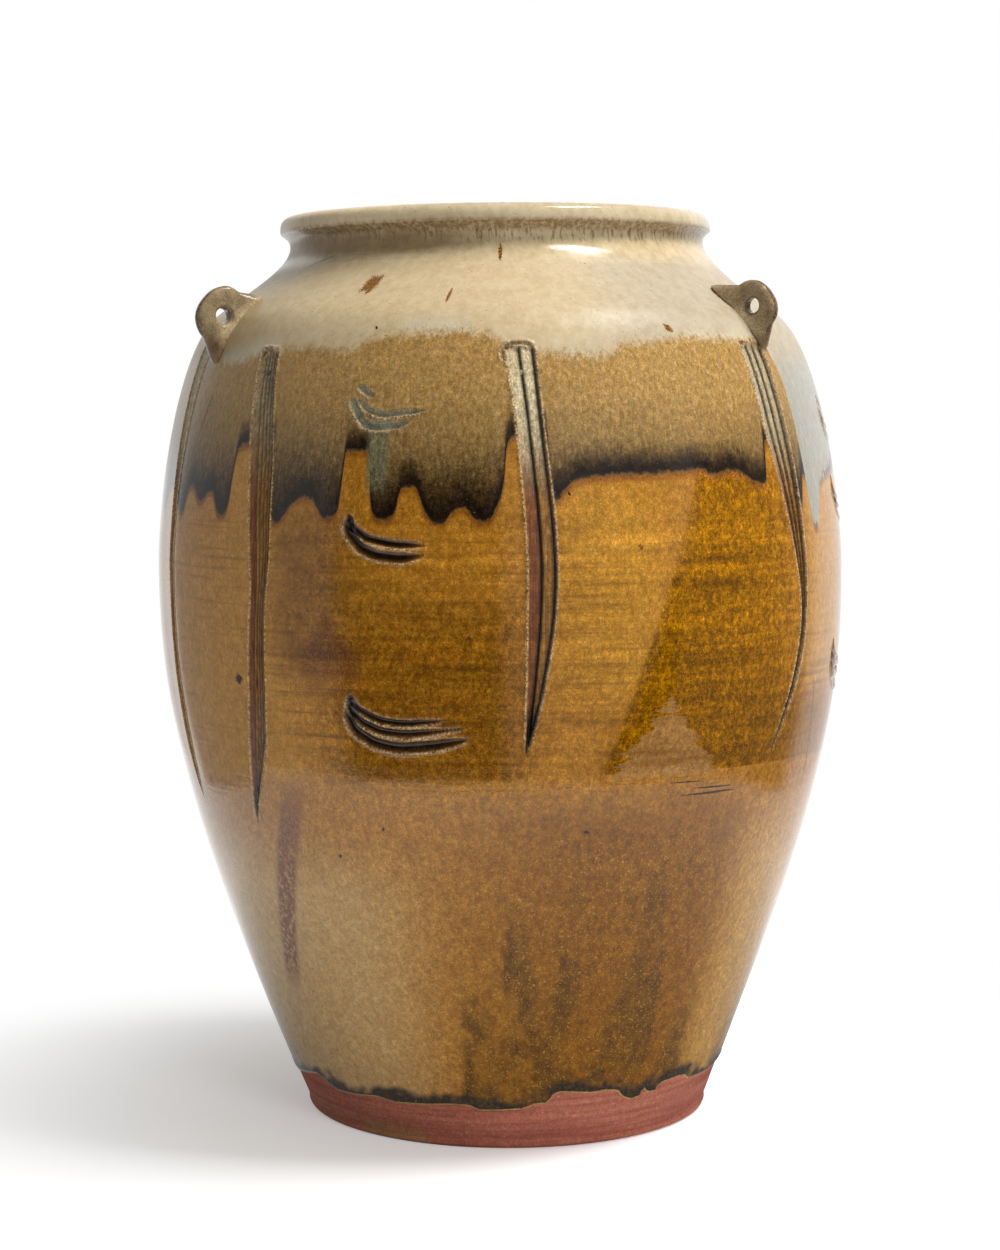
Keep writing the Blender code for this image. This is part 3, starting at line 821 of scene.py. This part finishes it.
def lug(node, lug_sizes, material):
    """A pinched ear of clay, pierced for a cord and smeared on to the wall above and below."""
    mesh = bmesh.new()
    bmesh.ops.create_uvsphere(mesh, u_segments=LUG_SEGMENTS[0], v_segments=LUG_SEGMENTS[1], radius=1.0)
    data = settled(mesh, node)
    ball = read_places(data)
    angle = np.arctan2(ball[:, 1], ball[:, 0])
    spread = np.clip(np.hypot(ball[:, 0], ball[:, 1]), 0, 1) ** (2 / LUG_BLUNTNESS)
    reach = ear_reach(angle, lug_sizes["upper_tail"]) * spread * lug_sizes["size"]
    across = np.sign(ball[:, 2]) * np.abs(ball[:, 2]) ** (2 / LUG_BLUNTNESS) * LUG_THICKNESS / 2
    way = reach * np.cos(angle)
    rise = LUG_HOLE_RISE + reach * np.sin(angle)
    squeeze = hump((reach / LUG_RING_RADIUS - LUG_PINCH_SHARES[0]) / LUG_PINCH_SHARES[1])
    across = across - LUG_PINCH * squeeze * np.sign(across)
    across *= 1 + LUG_FLARE_SHARE * np.clip(1 - np.maximum(rise, 0) / LUG_HOLE_RISE, 0, 1) ** 2
    body = linked(node + "_body", data)
    data.vertices.foreach_set("co", on_wall(way, rise, across, lug_sizes).ravel())

    face = LUG_THICKNESS / 2
    half = [
        (0.0, 2 * face), (2 * LUG_HOLE_MOUTH_RADIUS, 2 * face), (LUG_HOLE_MOUTH_RADIUS, face),
        (LUG_HOLE_RADIUS, face / 2),
    ]
    outline = half + [(radius, -deep) for radius, deep in reversed(half)]
    hole = spun(outline, LUG_SEGMENTS[1], Vector((0, 1, 0)))
    centre = on_wall(np.zeros(1), np.full(1, LUG_HOLE_RISE), np.zeros(1), lug_sizes)[0]
    turn = Matrix.Rotation(math.radians(lug_sizes["azimuth"] - 90), 4, "Z")
    bmesh.ops.transform(hole, verts=hole.verts, matrix=Matrix.Translation(Vector(centre)) @ turn)
    cutter = linked(node + "_hole", settled(hole, node + "_hole"))
    pierce = body.modifiers.new("pierce", "BOOLEAN")
    pierce.operation = "DIFFERENCE"
    pierce.object = cutter
    clay = body.modifiers.new("clay", "REMESH")
    clay.mode = "VOXEL"
    clay.voxel_size = LUG_VOXEL
    soften = body.modifiers.new("soften", "SMOOTH")
    soften.factor = 0.5
    soften.iterations = LUG_SOFTENING
    bpy.context.view_layer.update()
    shaped = bpy.data.meshes.new_from_object(body.evaluated_get(bpy.context.evaluated_depsgraph_get()))
    for item in (body, cutter):
        bpy.data.objects.remove(item, do_unlink=True)

    places = read_places(shaped)
    normals = np.empty(len(shaped.vertices) * 3)
    shaped.vertices.foreach_get("normal", normals)
    aside = math.radians(lug_sizes["azimuth"])
    side = np.array([math.cos(aside), math.sin(aside), 0.0])
    facing = np.abs(normals.reshape(-1, 3) @ side)
    dents = np.array([noise.noise(Vector(p) / LUG_DENT_SIZE) for p in places])
    places = places + normals.reshape(-1, 3) * (LUG_DENT_DEPTH * dents)[:, None]
    off = np.hypot(places[:, 0], places[:, 1]) - wall_radius(places[:, 2])
    shaped.vertices.foreach_set("co", slumped(places).ravel())
    shaped.shade_smooth()
    shaped.attributes.new("thrown", "FLOAT_VECTOR", "POINT").data.foreach_set("vector", places.ravel())
    marks = {"edge": smooth(*LUG_EDGE_FACING, facing), "off_wall": np.clip(off / LUG_HOLE_RISE, 0, 1)}
    for name, values in marks.items():
        shaped.attributes.new(name, "FLOAT", "POINT").data.foreach_set("value", values)
    placed(shaped, node, node + "_pinched", material)


def linear(code):
    """An sRGB hex colour as linear red, green, blue and alpha."""
    parts = [int(code[i:i + 2], 16) / 255 for i in (0, 2, 4)]
    return [p / 12.92 if p <= 0.04045 else ((p + 0.055) / 1.055) ** 2.4 for p in parts] + [1.0]


def add(tree, kind, inputs=None, **settings):
    """Adds a node with its settings. An input is given a socket, a node's first output or a value."""
    node = tree.nodes.new("ShaderNode" + kind)
    for name, value in settings.items():
        setattr(node, name, value)
    for name, value in (inputs or {}).items():
        if isinstance(value, bpy.types.Node):
            value = value.outputs[0]
        if isinstance(value, bpy.types.NodeSocket):
            tree.links.new(value, node.inputs[name])
        else:
            node.inputs[name].default_value = value
    return node


def trace(mapping, points, span, low, high):
    """Gives a curve these points, with positions over the span and values from low to high as 0 to 1."""
    curve = mapping.curves[0]
    scaled = [((x - span[0]) / (span[1] - span[0]), (y - low) / (high - low)) for x, y in points]
    while len(curve.points) < len(scaled):
        curve.points.new(0.5, 0.5)
    for point, place in zip(curve.points, sorted(scaled)):
        point.location = place
        point.handle_type = "AUTO_CLAMPED"
    mapping.update()


def glaze_edge(put, turn, points, low, high):
    """Height in millimetres of a glaze's edge at a folded azimuth, from one curve for each half."""
    halves = []
    for start, end in ((-90, 0), (0, 90)):
        inside = [p for p in points if start <= p[0] <= end]
        middle = np.interp(0, [p[0] for p in points], [p[1] for p in points])
        if not any(p[0] == 0 for p in inside):
            inside.append((0, float(middle)))
        share = put("MapRange", {"Value": turn, "From Min": start, "From Max": end})
        half = put("FloatCurve", {"Value": share})
        trace(half.mapping, inside, (start, end), low, high)
        halves.append(half)
    right = put("Math", {0: turn, 1: 0.0}, operation="GREATER_THAN")
    both = put("Mix", {"Factor": right, 2: halves[0], 3: halves[1]})
    return total(put, low, (both, high - low))


def where(put, *terms):
    """Masks and shares multiplied. A term (field, low, high) eases from 0 at low to 1 at high, and a term
    (field, low, high, soft) is 1 between low and high and fades over soft on each side.
    """
    result = None
    for term in terms:
        factors = [term]
        if isinstance(term, tuple):
            field, low, high, *soft = term
            eases = [(low, high)]
            if soft:
                eases = [(low - soft[0], low + soft[0]), (high + soft[0], high - soft[0])]
            factors = []
            for start, end in eases:
                levels = {"Value": field, "From Min": start, "From Max": end}
                factors.append(put("MapRange", levels, interpolation_type="SMOOTHSTEP"))
        for factor in factors:
            result = factor if result is None else put("Math", {0: result, 1: factor}, operation="MULTIPLY")
    return result


def total(put, base, *terms):
    """A base with other fields added to it, each times its share."""
    for field, share in terms:
        base = put("Math", {0: field, 1: share, 2: base}, operation="MULTIPLY_ADD")
    return base


def trail(put, azimuth, height, start, end, half_width, grain):
    """1 along a line between two places on the wall, tapering to its ends and broken up by a grain."""
    degree = math.radians(1) * float(wall_radius((start[1] + end[1]) / 2 * MM)) / MM
    run = Vector(((end[0] - start[0]) * degree, end[1] - start[1], 0))
    across = total(put, -start[0] * degree, (azimuth, degree))
    up = put("Math", {0: height, 1: start[1]}, operation="SUBTRACT")
    spot = put("CombineXYZ", {0: across, 1: up})
    share = put("VectorMath", {0: spot, 1: run / run.length_squared}, operation="DOT_PRODUCT")
    share = put("Math", {0: share.outputs["Value"], 1: 0.0}, operation="ADD", use_clamp=True)
    nearest = put("VectorMath", {0: run, "Scale": share}, operation="SCALE")
    gap = put("VectorMath", {0: spot, 1: nearest}, operation="DISTANCE").outputs["Value"]
    ends = put("Math", {0: total(put, -1.0, (share, 2.0)), 1: 2.0}, operation="POWER")
    gap = total(put, gap, (ends, TRAIL_TAPER * half_width), (grain, TRAIL_RAGGED * half_width))
    return where(put, (gap, TRAIL_EDGE[0] * half_width, TRAIL_EDGE[1] * half_width))


def merged(put, azimuth, height, trails, grain):
    """All the trails of a table in one mask."""
    result = None
    for start, end, half_width in trails:
        mark = trail(put, azimuth, height, start, end, half_width, grain)
        result = mark if result is None else put("Math", {0: result, 1: mark}, operation="MAXIMUM")
    return result


# Grain of the glaze, as the size of its features in millimetres across and up, and its detail; how rough it
# is, and the levels between which nearly all of it lies
GRAINS_MM = {
    "fibre": (1.1, 6.0, 2.0),
    "weave": (0.55, 0.65, 2.0),
    "speck": (0.8, 0.8, 1.0),
    "clot": (1.7, 2.1, 3.0),
    "mottle": (4.0, 5.0, 3.0),
    "cloud": (38.0, 45.0, 3.0),
    "turning": (50.0, 2.0, 4.0),
    "ring": (90.0, 5.0, 2.0),
    "scratch": (0.6, 45.0, 2.0),
    "run": (11.0, 120.0, 3.0),
    "drift": (14.0, 10.0, 2.0),
}
GRAIN_ROUGHNESS = 0.55
GRAIN_LEVELS = {"From Min": 0.32, "From Max": 0.68}
GLAZE_IOR = 1.52


def azimuth_of(put, way):
    """Degrees from the front of a place or a direction."""
    front = put("Math", {0: way.outputs["Y"], 1: -1.0}, operation="MULTIPLY")
    turn = put("Math", {0: way.outputs["X"], 1: front}, operation="ARCTAN2")
    return put("Math", {0: turn}, operation="DEGREES")


def surface_fields(put):
    """Places on the thrown wall and the grains that every layer of glaze is broken up with."""
    place = put("Attribute", attribute_name="thrown").outputs["Vector"]
    axes = put("SeparateXYZ", {0: place})
    behind = put("Math", {0: axes.outputs["Y"]}, operation="ABSOLUTE")
    fold = put("Math", {0: axes.outputs["X"], 1: behind}, operation="ARCTAN2")
    fields = {
        "fold": put("Math", {0: fold}, operation="DEGREES"),
        "azimuth": azimuth_of(put, axes),
        "height": put("Math", {0: axes.outputs["Z"], 1: MM}, operation="DIVIDE"),
    }
    for name, (across, up, detail) in GRAINS_MM.items():
        scales = (1 / (across * MM), 1 / (across * MM), 1 / (up * MM))
        stretched = put("VectorMath", {0: place, 1: scales}, operation="MULTIPLY")
        looks = {"Vector": stretched, "Scale": 1.0, "Detail": detail, "Roughness": GRAIN_ROUGHNESS}
        fields[name] = put("TexNoise", looks)
    return fields


def layered(put, layers, colour=None, rough=None):
    """Lays one glaze over the other. Each has a mask, two colours, the grain between them and a roughness."""
    for mask, thin, thick, grain, roughness in layers:
        spread = put("MapRange", {"Value": grain, **GRAIN_LEVELS})
        shade = put("Mix", {"Factor": spread, 6: linear(thin), 7: linear(thick)}, data_type="RGBA").outputs[2]
        if colour is None:
            colour = shade
            rough = roughness
        else:
            colour = put("Mix", {"Factor": mask, 6: colour, 7: shade}, data_type="RGBA").outputs[2]
            rough = put("Mix", {"Factor": mask, 2: rough, 3: roughness})
    return colour, rough


def fresh(holder):
    """Empties the nodes of a material or a world and gives the function that adds nodes to it."""
    holder.use_nodes = True
    holder.node_tree.nodes.clear()
    return functools.partial(add, holder.node_tree)


def glassy(put, colour, rough, grain, strength, distance):
    """The melted glass of a glaze over its colour, with the fine relief that its grain leaves in it."""
    bump = put("Bump", {"Height": grain, "Strength": strength, "Distance": distance})
    glass = {"Base Color": colour, "Roughness": rough, "IOR": GLAZE_IOR, "Normal": bump}
    put("OutputMaterial", {"Surface": put("BsdfPrincipled", glass)})


def poured_glaze():
    """Wood-ash glazes over red stoneware, fired to about 1280 degrees: a satin cream over a mottled ash band
    that ran and pooled black at its edge, over a glossy transparent amber, with the clay bare at the foot.
    """
    material = bpy.data.materials.new("poured_ash_glaze_on_stoneware")
    put = fresh(material)
    fields = surface_fields(put)
    fold, azimuth, height = (fields[name] for name in ("fold", "azimuth", "height"))
    fibre, speck, mottle, cloud = (fields[name] for name in ("fibre", "speck", "mottle", "cloud"))
    clot, scratch, turned, weave = (fields[name] for name in ("clot", "scratch", "turning", "weave"))
    drift = fields["drift"]

    # The body: amber, deeper where it was dipped twice, with the marks of firing in it. A renderer holds only
    # so many masks at once, so these layers go on before the masks of the upper glazes are made.
    turning = where(
        put, (turned, 0.49, 0.32), (height, 160, 258, 14), (cloud, 0.30, 0.6), (clot, 0.2, 0.6), 0.55,
    )
    hem_edge = glaze_edge(put, fold, HEM_EDGE_MM, 100, 200)
    over_hem = total(put, -2.5, (turned, 5.0), (height, 1.0), (hem_edge, -1.0))
    torn = put("Math", {0: fold, 1: 27.0}, operation="SUBTRACT")
    torn = put("Math", {0: torn}, operation="ABSOLUTE")
    torn = total(put, height, (torn, 3.2), (turned, 34.0))
    torn = where(put, (torn, 207.0, 205.0), (over_hem, -3.0, 0.0), (fold, 12, 44, 3), 0.8)
    past_slant = total(put, 6.2, (height, -0.14), (fold, 1.0))
    patch = where(put, (over_hem, -0.5, 0.9), (height, 278, 272), (past_slant, -0.4, 0.6), (fold, 62, 44))
    patch_low = where(put, patch, (height, 222, 180))
    thin = where(put, (height, 140, 100), (fold, -5, -35))
    thin_right = where(put, (height, 150, 110), (fold, 34, 54))
    low_deep = where(put, (height, 160, 136), (fold, -22, 16), (fold, 56, 38))
    sides = total(put, where(put, (fold, -26, -40)), (where(put, (fold, 54, 60)), 1.0))
    sides = where(put, sides, (over_hem, -2.0, 2.0))
    amber_deep = where(put, (over_hem, -2.5, 1.5), (height, 240, 206), (fold, -27, 4, 6))
    amber_low = where(put, (over_hem, -0.5, 0.9), (height, 194, 176), (fold, 12, 20))
    smoky = where(put, (height, 196, 262, 12), (fold, -37, -24, 4))
    gold = where(put, (height, 190, 270, 12), (fold, 9, 25, 5))
    astray = total(put, -4.0, (drift, 5.0), (fibre, 3.0), (fold, 1.0))
    run_top = glaze_edge(put, astray, RUN_TOP_MM, 0, 200)
    under_run = total(put, run_top, (height, -1.0))
    runs = where(put, (under_run, -6, 30), (fields["run"], 0.36, 0.58), (clot, 0.10, 0.50), 0.95)
    peak = put("Math", {0: total(put, 73.5, (height, -0.33)), 1: 6.0}, operation="MINIMUM")
    beside = put("Math", {0: fold, 1: 27.3}, operation="ADD")
    beside = put("Math", {0: beside}, operation="ABSOLUTE")
    plum = total(put, peak, (beside, -1.0))
    plum = where(put, (plum, -1.0, 2.5), (height, 182, 208), (clot, 0.34, 0.56))
    streak = total(put, 62.4, (height, -0.172), (fold, 1.0))
    streak = where(put, (streak, -2.6, 2.4, 0.9), (height, 66, 148, 10), (clot, 0.32, 0.56))
    foot = put("Attribute", attribute_name="foot").outputs["Fac"]
    pool_width = total(put, 6.6, (drift, -21.0), (foot, 1.0))
    foot_pool = where(put, (foot, 0.6, 1.0), (pool_width, 4.0, -2.5), (clot, 0.0, 0.45))
    foot_line = where(put, (foot, -0.2, 0.8, 0.25))
    crystal = where(put, (speck, 0.60, 0.68), (height, 156, 120), 0.7)
    body_layers = [
        (None, "A56D1C", "B27A28", mottle, 0.06),
        (thin, "C49B60", "D0AB72", mottle, 0.10),
        (thin_right, "B48438", "C49240", mottle, 0.10),
        (low_deep, "7C4A04", "925E08", mottle, 0.08),
        (sides, "B47E2E", "C28C3C", mottle, 0.08),
        (amber_deep, "7E4E0A", "8E5E12", mottle, 0.09),
        (amber_low, "8E5A0C", "9C6812", mottle, 0.08),
        (smoky, "84571E", "946428", mottle, 0.12),
        (gold, "B47C1C", "C0882A", mottle, 0.08),
        (patch, "875602", "9F6902", mottle, 0.06),
        (patch_low, "784C02", "8E5C02", mottle, 0.06),
        (torn, "9C6E38", "B0824C", turned, 0.12),
        (runs, "563404", "785008", mottle, 0.10),
        (crystal, "B07C24", "C8963C", mottle, 0.12),
        (turning, "704408", "8A5A14", speck, 0.10),
        (plum, "5E3418", "74461F", speck, 0.20),
        (streak, "704030", "8E5E44", speck, 0.25),
        (foot_pool, "1A1A1C", "4A3820", clot, 0.08),
        (foot_line, "B08846", "C8A058", speck, 0.15),
    ]
    colour, rough = layered(put, body_layers)

    # The upper glazes: their edges wander with the grain, so that one feathers into the next. Among them lie
    # painted shade on the left of the cream and the neck and painted light on the left of the lip
    wander = total(put, -5.0, (fibre, 6.0), (mottle, 4.0))
    cream_edge = glaze_edge(put, fold, CREAM_EDGE_MM, 240, 340)
    over_cream = total(put, wander, (height, 1.0), (cream_edge, -1.0))
    cream = where(put, (over_cream, -2.5, 3.5))
    drip_wander = total(put, -3.5, (mottle, 4.0), (clot, 3.0))
    drip_edge = glaze_edge(put, fold, DRIP_EDGE_MM, 240, 340)
    over_drip = total(put, drip_wander, (height, 1.0), (drip_edge, -1.0))
    band = where(put, (over_drip, -0.8, 1.6))
    ragged = total(put, -3.5, (fibre, 7.0), (cloud, 14.0), (height, 1.0))
    olive = where(put, band, (ragged, 317, 286))
    dark = where(put, band, (ragged, 296, 273))
    rim_dark = where(put, band, (over_drip, 14.0, 2.0))
    halo = where(put, (over_drip, -2.2, 0.6, 1.2))
    clay = where(put, (foot, 0.1, -0.25))
    flashed = where(put, clay, (height, 12, 3), (fold, -60, -12, 12), (cloud, 0.38, 0.55))
    grit = where(put, clay, (speck, 0.68, 0.74), 0.7)
    pour = where(put, (azimuth, -20.8, -17.4, 0.6), (height, 270, 296, 7), 0.8)
    neck = where(put, (height, 358, 372, 4))
    lip = where(put, (height, 371, 374))
    tinge = where(put, (over_cream, -1, 6, 3), (cloud, 0.46, 0.60), 0.6)
    # Painted shade: the cream is darker on the left side, which faces away from the key light
    cream_left_painted_shade = where(put, cream, (fold, -34, -58))
    cream_right = where(put, cream, (fold, 6, 34))
    # Painted shade: the neck is darker on its left, where it turns away from the light
    neck_left_painted_shade = where(put, (height, 361, 370, 3), (fold, 8, -26))
    neck_specks = where(put, (height, 365, 371, 2), (fibre, 0.53, 0.62), 0.7)
    # Painted light: the lip is made lighter on its left, where light falls on it more brightly
    lip_left_painted_light = where(put, lip, (fold, -8, -36))
    lip_edge = total(put, height, (fibre, 3.0))
    lip_edge = where(put, (lip_edge, 370.8, 375.0, 1.4), (clot, 0.28, 0.60), 0.85)
    chun = where(put, cream, (fold, 56, 60), (height, 328, 308), (fibre, 0.2, 0.6))
    iron = where(put, (speck, 0.72, 0.78))
    scorched = merged(put, azimuth, height, IRON_TRAILS_MM, weave)
    cracked = merged(put, azimuth, height, DARK_TRAILS_MM, weave)
    marks = {mark: put("Attribute", attribute_name=mark).outputs["Fac"] for mark in MARKS}
    high = where(put, (height, 262, 304))
    drawn_high = where(put, marks["drawn"], high)
    pale_high = where(put, marks["pale"], high)
    upper_layers = [
        (halo, "7A4412", "A0641C", mottle, 0.12),
        (band, "9F793A", "AE8B56", fibre, 0.30),
        (olive, "7C6034", "8C6F40", fibre, 0.26),
        (dark, "33230F", "4C381C", fibre, 0.16),
        (rim_dark, "160F0A", "2A1B10", mottle, 0.12),
        (pour, "66644A", "827E5E", fibre, 0.20),
        (cream, "BCA57E", "CAB590", mottle, 0.42),
        # painted shade on the left of the cream
        (cream_left_painted_shade, "A8916A", "B8A27A", mottle, 0.38),
        (cream_right, "AA9A80", "BAAA90", mottle, 0.38),
        (tinge, "BEB498", "CCC2A6", fibre, 0.30),
        (chun, "868A84", "AAA89C", fibre, 0.22),
        (neck, "BCA680", "CEBA94", mottle, 0.12),
        # painted shade on the left of the neck
        (neck_left_painted_shade, "8A7250", "9E8860", mottle, 0.40),
        (neck_specks, "6E5436", "8E744E", speck, 0.30),
        (lip, "B8A684", "C8B696", mottle, 0.06),
        # painted light on the left of the lip
        (lip_left_painted_light, "D2BE98", "E0CCA8", mottle, 0.38),
        (lip_edge, "6E5232", "947650", speck, 0.14),
        (iron, "8A6A40", "6E4E2A", mottle, 0.20),
        (marks["drawn"], "684218", "A07232", scratch, 0.16),
        (marks["bare"], "5C3014", "8C5228", scratch, 0.35),
        (drawn_high, "5E4828", "90764C", scratch, 0.25),
        (pale_high, "A8966E", "D6C6A2", scratch, 0.25),
        (marks["broken"], "6A4424", "DCC090", speck, 0.14),
        (scorched, "482A0A", "A0681C", weave, 0.20),
        (cracked, "1E1614", "40281C", weave, 0.20),
        (marks["milky"], "5C6658", "8C907A", mottle, 0.15),
        (marks["pooled"], "0C0806", "1E140E", mottle, 0.16),
        (marks["inside"], "8A6A42", "A07E50", mottle, 0.22),
        (clay, "A05446", "C4785E", turned, 0.80),
        (flashed, "9C6C42", "A87A50", mottle, 0.70),
        (grit, "C89A80", "DDB498", mottle, 0.80),
    ]
    colour, rough = layered(put, upper_layers, colour, rough)

    # Crystals and unmelted ash give every glaze a fine weave, light on dark, and turning left faint rings
    tone = total(put, -1.775, (weave, 1.8), (clot, 1.5), (mottle, 0.25))
    ringed = where(put, (height, 160, 262, 16), (fold, -40, 60, 14), 0.8)
    rings = total(put, -1.0, (turned, 1.0), (fields["ring"], 1.0))
    tone = total(put, tone, (rings, ringed))
    strength = 1.0
    for mask, share in (
        (thin, 0.5), (low_deep, 0.85), (amber_deep, 1.35), (patch, 1.7), (torn, 0.7), (sides, 0.65),
        (dark, 1.6), (cream, 0.13), (clay, 0.6),
    ):
        strength = put("Mix", {"Factor": mask, 2: strength, 3: share})
    tone = put("Math", {0: where(put, tone, strength)}, operation="EXPONENT")
    colour = put("VectorMath", {0: colour, "Scale": tone}, operation="SCALE")
    beads = where(put, speck, marks["broken"])
    ribs = where(put, turned, (height, 135, 262, 12))
    grain = total(put, fibre, (speck, 0.5), (mottle, 1.2), (beads, 3.0), (ribs, 1.6))
    glassy(put, colour, rough, grain, 0.35, 0.00010)
    return material


def lug_glaze():
    """The same ash glaze on pinched clay: thin and brown where it broke over the edges, pale in hollows."""
    material = bpy.data.materials.new("thin_ash_glaze_on_pinched_clay")
    put = fresh(material)
    fields = surface_fields(put)
    edge = put("Attribute", attribute_name="edge").outputs["Fac"]
    off_wall = put("Attribute", attribute_name="off_wall").outputs["Fac"]
    worn = total(put, edge, (fields["clot"], 1.2))
    broken = where(put, (worn, 0.80, 1.25), off_wall)
    low = where(put, (fields["height"], 331, 326))
    layers = [
        (None, "A8926C", "BEA882", fields["mottle"], 0.20),
        (off_wall, "7C6A4C", "988262", fields["mottle"], 0.16),
        (broken, "3E2A1C", "8A6A4A", fields["speck"], 0.12),
        (low, "6A5238", "8A7450", fields["mottle"], 0.16),
    ]
    colour, rough = layered(put, layers)
    tone = total(put, 0.1, (fields["weave"], 1.8))
    colour = put("VectorMath", {0: colour, "Scale": tone}, operation="SCALE")
    glassy(put, colour, rough, total(put, fields["mottle"], (fields["clot"], 0.6)), 0.5, 0.00025)
    return material


def table():
    """White table that keeps the jar's shadow. Reflections see it end in a round front edge."""
    mesh = bmesh.new()
    bmesh.ops.create_grid(mesh, x_segments=1, y_segments=1, size=FLOOR_SIZE / 2)
    data = settled(mesh, "table")
    item = linked("table", data)
    material = bpy.data.materials.new("white_table")
    put = fresh(material)
    place = put("SeparateXYZ", {0: put("TexCoord").outputs["Object"]})
    wide = put("Math", {0: place.outputs["X"], 1: TABLE_HALF_WIDTH}, operation="DIVIDE")
    deep = put("Math", {0: place.outputs["Y"], 1: TABLE_HALF_DEPTH}, operation="DIVIDE")
    deep = put("Math", {0: deep, 1: 0.0}, operation="MINIMUM")
    wide = put("Math", {0: wide, 1: 2.0}, operation="POWER")
    deep = put("Math", {0: deep, 1: 2.0}, operation="POWER")
    path = put("LightPath")
    glossy = path.outputs["Is Glossy Ray"]
    hidden = where(put, (total(put, wide, (deep, 1.0)), *TABLE_EDGE), glossy)
    away = put("VectorMath", {0: put("TexCoord").outputs["Object"]}, operation="LENGTH").outputs["Value"]
    seen = path.outputs["Is Camera Ray"]
    paper = put("Mix", {"Factor": seen, 6: linear("D8D8D8"), 7: linear("FFFFFF")}, data_type="RGBA")
    diffuse = put("BsdfDiffuse", {"Color": paper.outputs[2]})
    white = linear("FFFFFF")
    glow = put("Emission", {"Color": white, "Strength": where(put, seen, TABLE_GLOW)})
    near = put("AddShader", {0: diffuse, 1: glow})
    bright = put("Emission", {"Color": white, "Strength": 1.0})
    far = where(put, (away, *TABLE_SHADOW_REACH), seen)
    lit = put("MixShader", {0: far, 1: near, 2: bright})
    # The glaze mirrors a table that is dim in the shade of the foot and a little dimmer on the right
    sheen = put("MapRange", {"Value": away, **TABLE_SHEEN})
    shade = put("MapRange", {"Value": place.outputs["X"], **TABLE_SHADE})
    mirrored = put("Emission", {"Color": white, "Strength": where(put, sheen, shade)})
    lit = put("MixShader", {0: glossy, 1: lit, 2: mirrored})
    surface = put("MixShader", {0: hidden, 1: lit, 2: put("BsdfTransparent")})
    put("OutputMaterial", {"Surface": surface})
    data.materials.append(material)


def studio():
    """White background, a plain sky for the light, and for reflections the pale walls of a studio."""
    world = bpy.data.worlds.new("studio")
    bpy.context.scene.world = world
    put = fresh(world)
    way = put("SeparateXYZ", {0: put("TexCoord").outputs["Generated"]})
    azimuth = azimuth_of(put, way)
    slanted = total(put, azimuth, (way.outputs["Z"], PANEL_SLANT))
    panel = where(put, (azimuth, *PANEL_LEFT), (slanted, *PANEL_RIGHT))
    level = total(put, DIM_ROOM, (panel, PANEL_LEVEL))
    for span, brightness in PALE_WALLS:
        level = total(put, level, (where(put, (azimuth, *span)), brightness))
    level = where(put, level, put("MapRange", {"Value": way.outputs["Z"], **CEILING}))
    path = put("LightPath")
    glossy = put("Mix", {"Factor": path.outputs["Is Glossy Ray"], 2: SKY_LEVEL, 3: level})
    strength = put("Mix", {"Factor": path.outputs["Is Camera Ray"], 2: glossy, 3: 1.0})
    background = put("Background", {"Color": linear("FFFFFF"), "Strength": strength})
    put("OutputWorld", {"Surface": background})


def softbox(name, azimuth, elevation, distance, size, power, glossy):
    """A square lamp that faces the jar's middle."""
    lamp = bpy.data.lights.new(name, "AREA")
    lamp.shape = "RECTANGLE"
    lamp.size = size[0]
    lamp.size_y = size[1]
    lamp.energy = power
    item = linked(name, lamp)
    turn = math.radians(azimuth)
    lift = math.radians(elevation)
    way = Vector((math.cos(lift) * math.sin(turn), -math.cos(lift) * math.cos(turn), math.sin(lift)))
    item.location = Vector((0, 0, BELLY_HEIGHT)) + way * distance
    item.rotation_euler = way.to_track_quat("Z", "Y").to_euler()
    item.visible_glossy = glossy


def camera():
    lens = bpy.data.cameras.new("camera")
    lens.sensor_fit = "VERTICAL"
    lens.sensor_height = SENSOR
    lens.lens = CAMERA_LENS
    item = linked("camera", lens)
    item.location = (0, -CAMERA_DISTANCE, CAMERA_HEIGHT)
    item.rotation_euler = (math.radians(90 - CAMERA_PITCH), 0, 0)
    bpy.context.scene.camera = item


glaze = poured_glaze()
base_section(glaze)
shoulder_section(glaze)
neck_and_rim(glaze)
pinched = lug_glaze()
for node, sizes in LUGS.items():
    lug(node, sizes, pinched)
table()
studio()
for name, values in LAMPS.items():
    softbox(name, *values)
camera()
bpy.context.scene.view_settings.view_transform = "Standard"
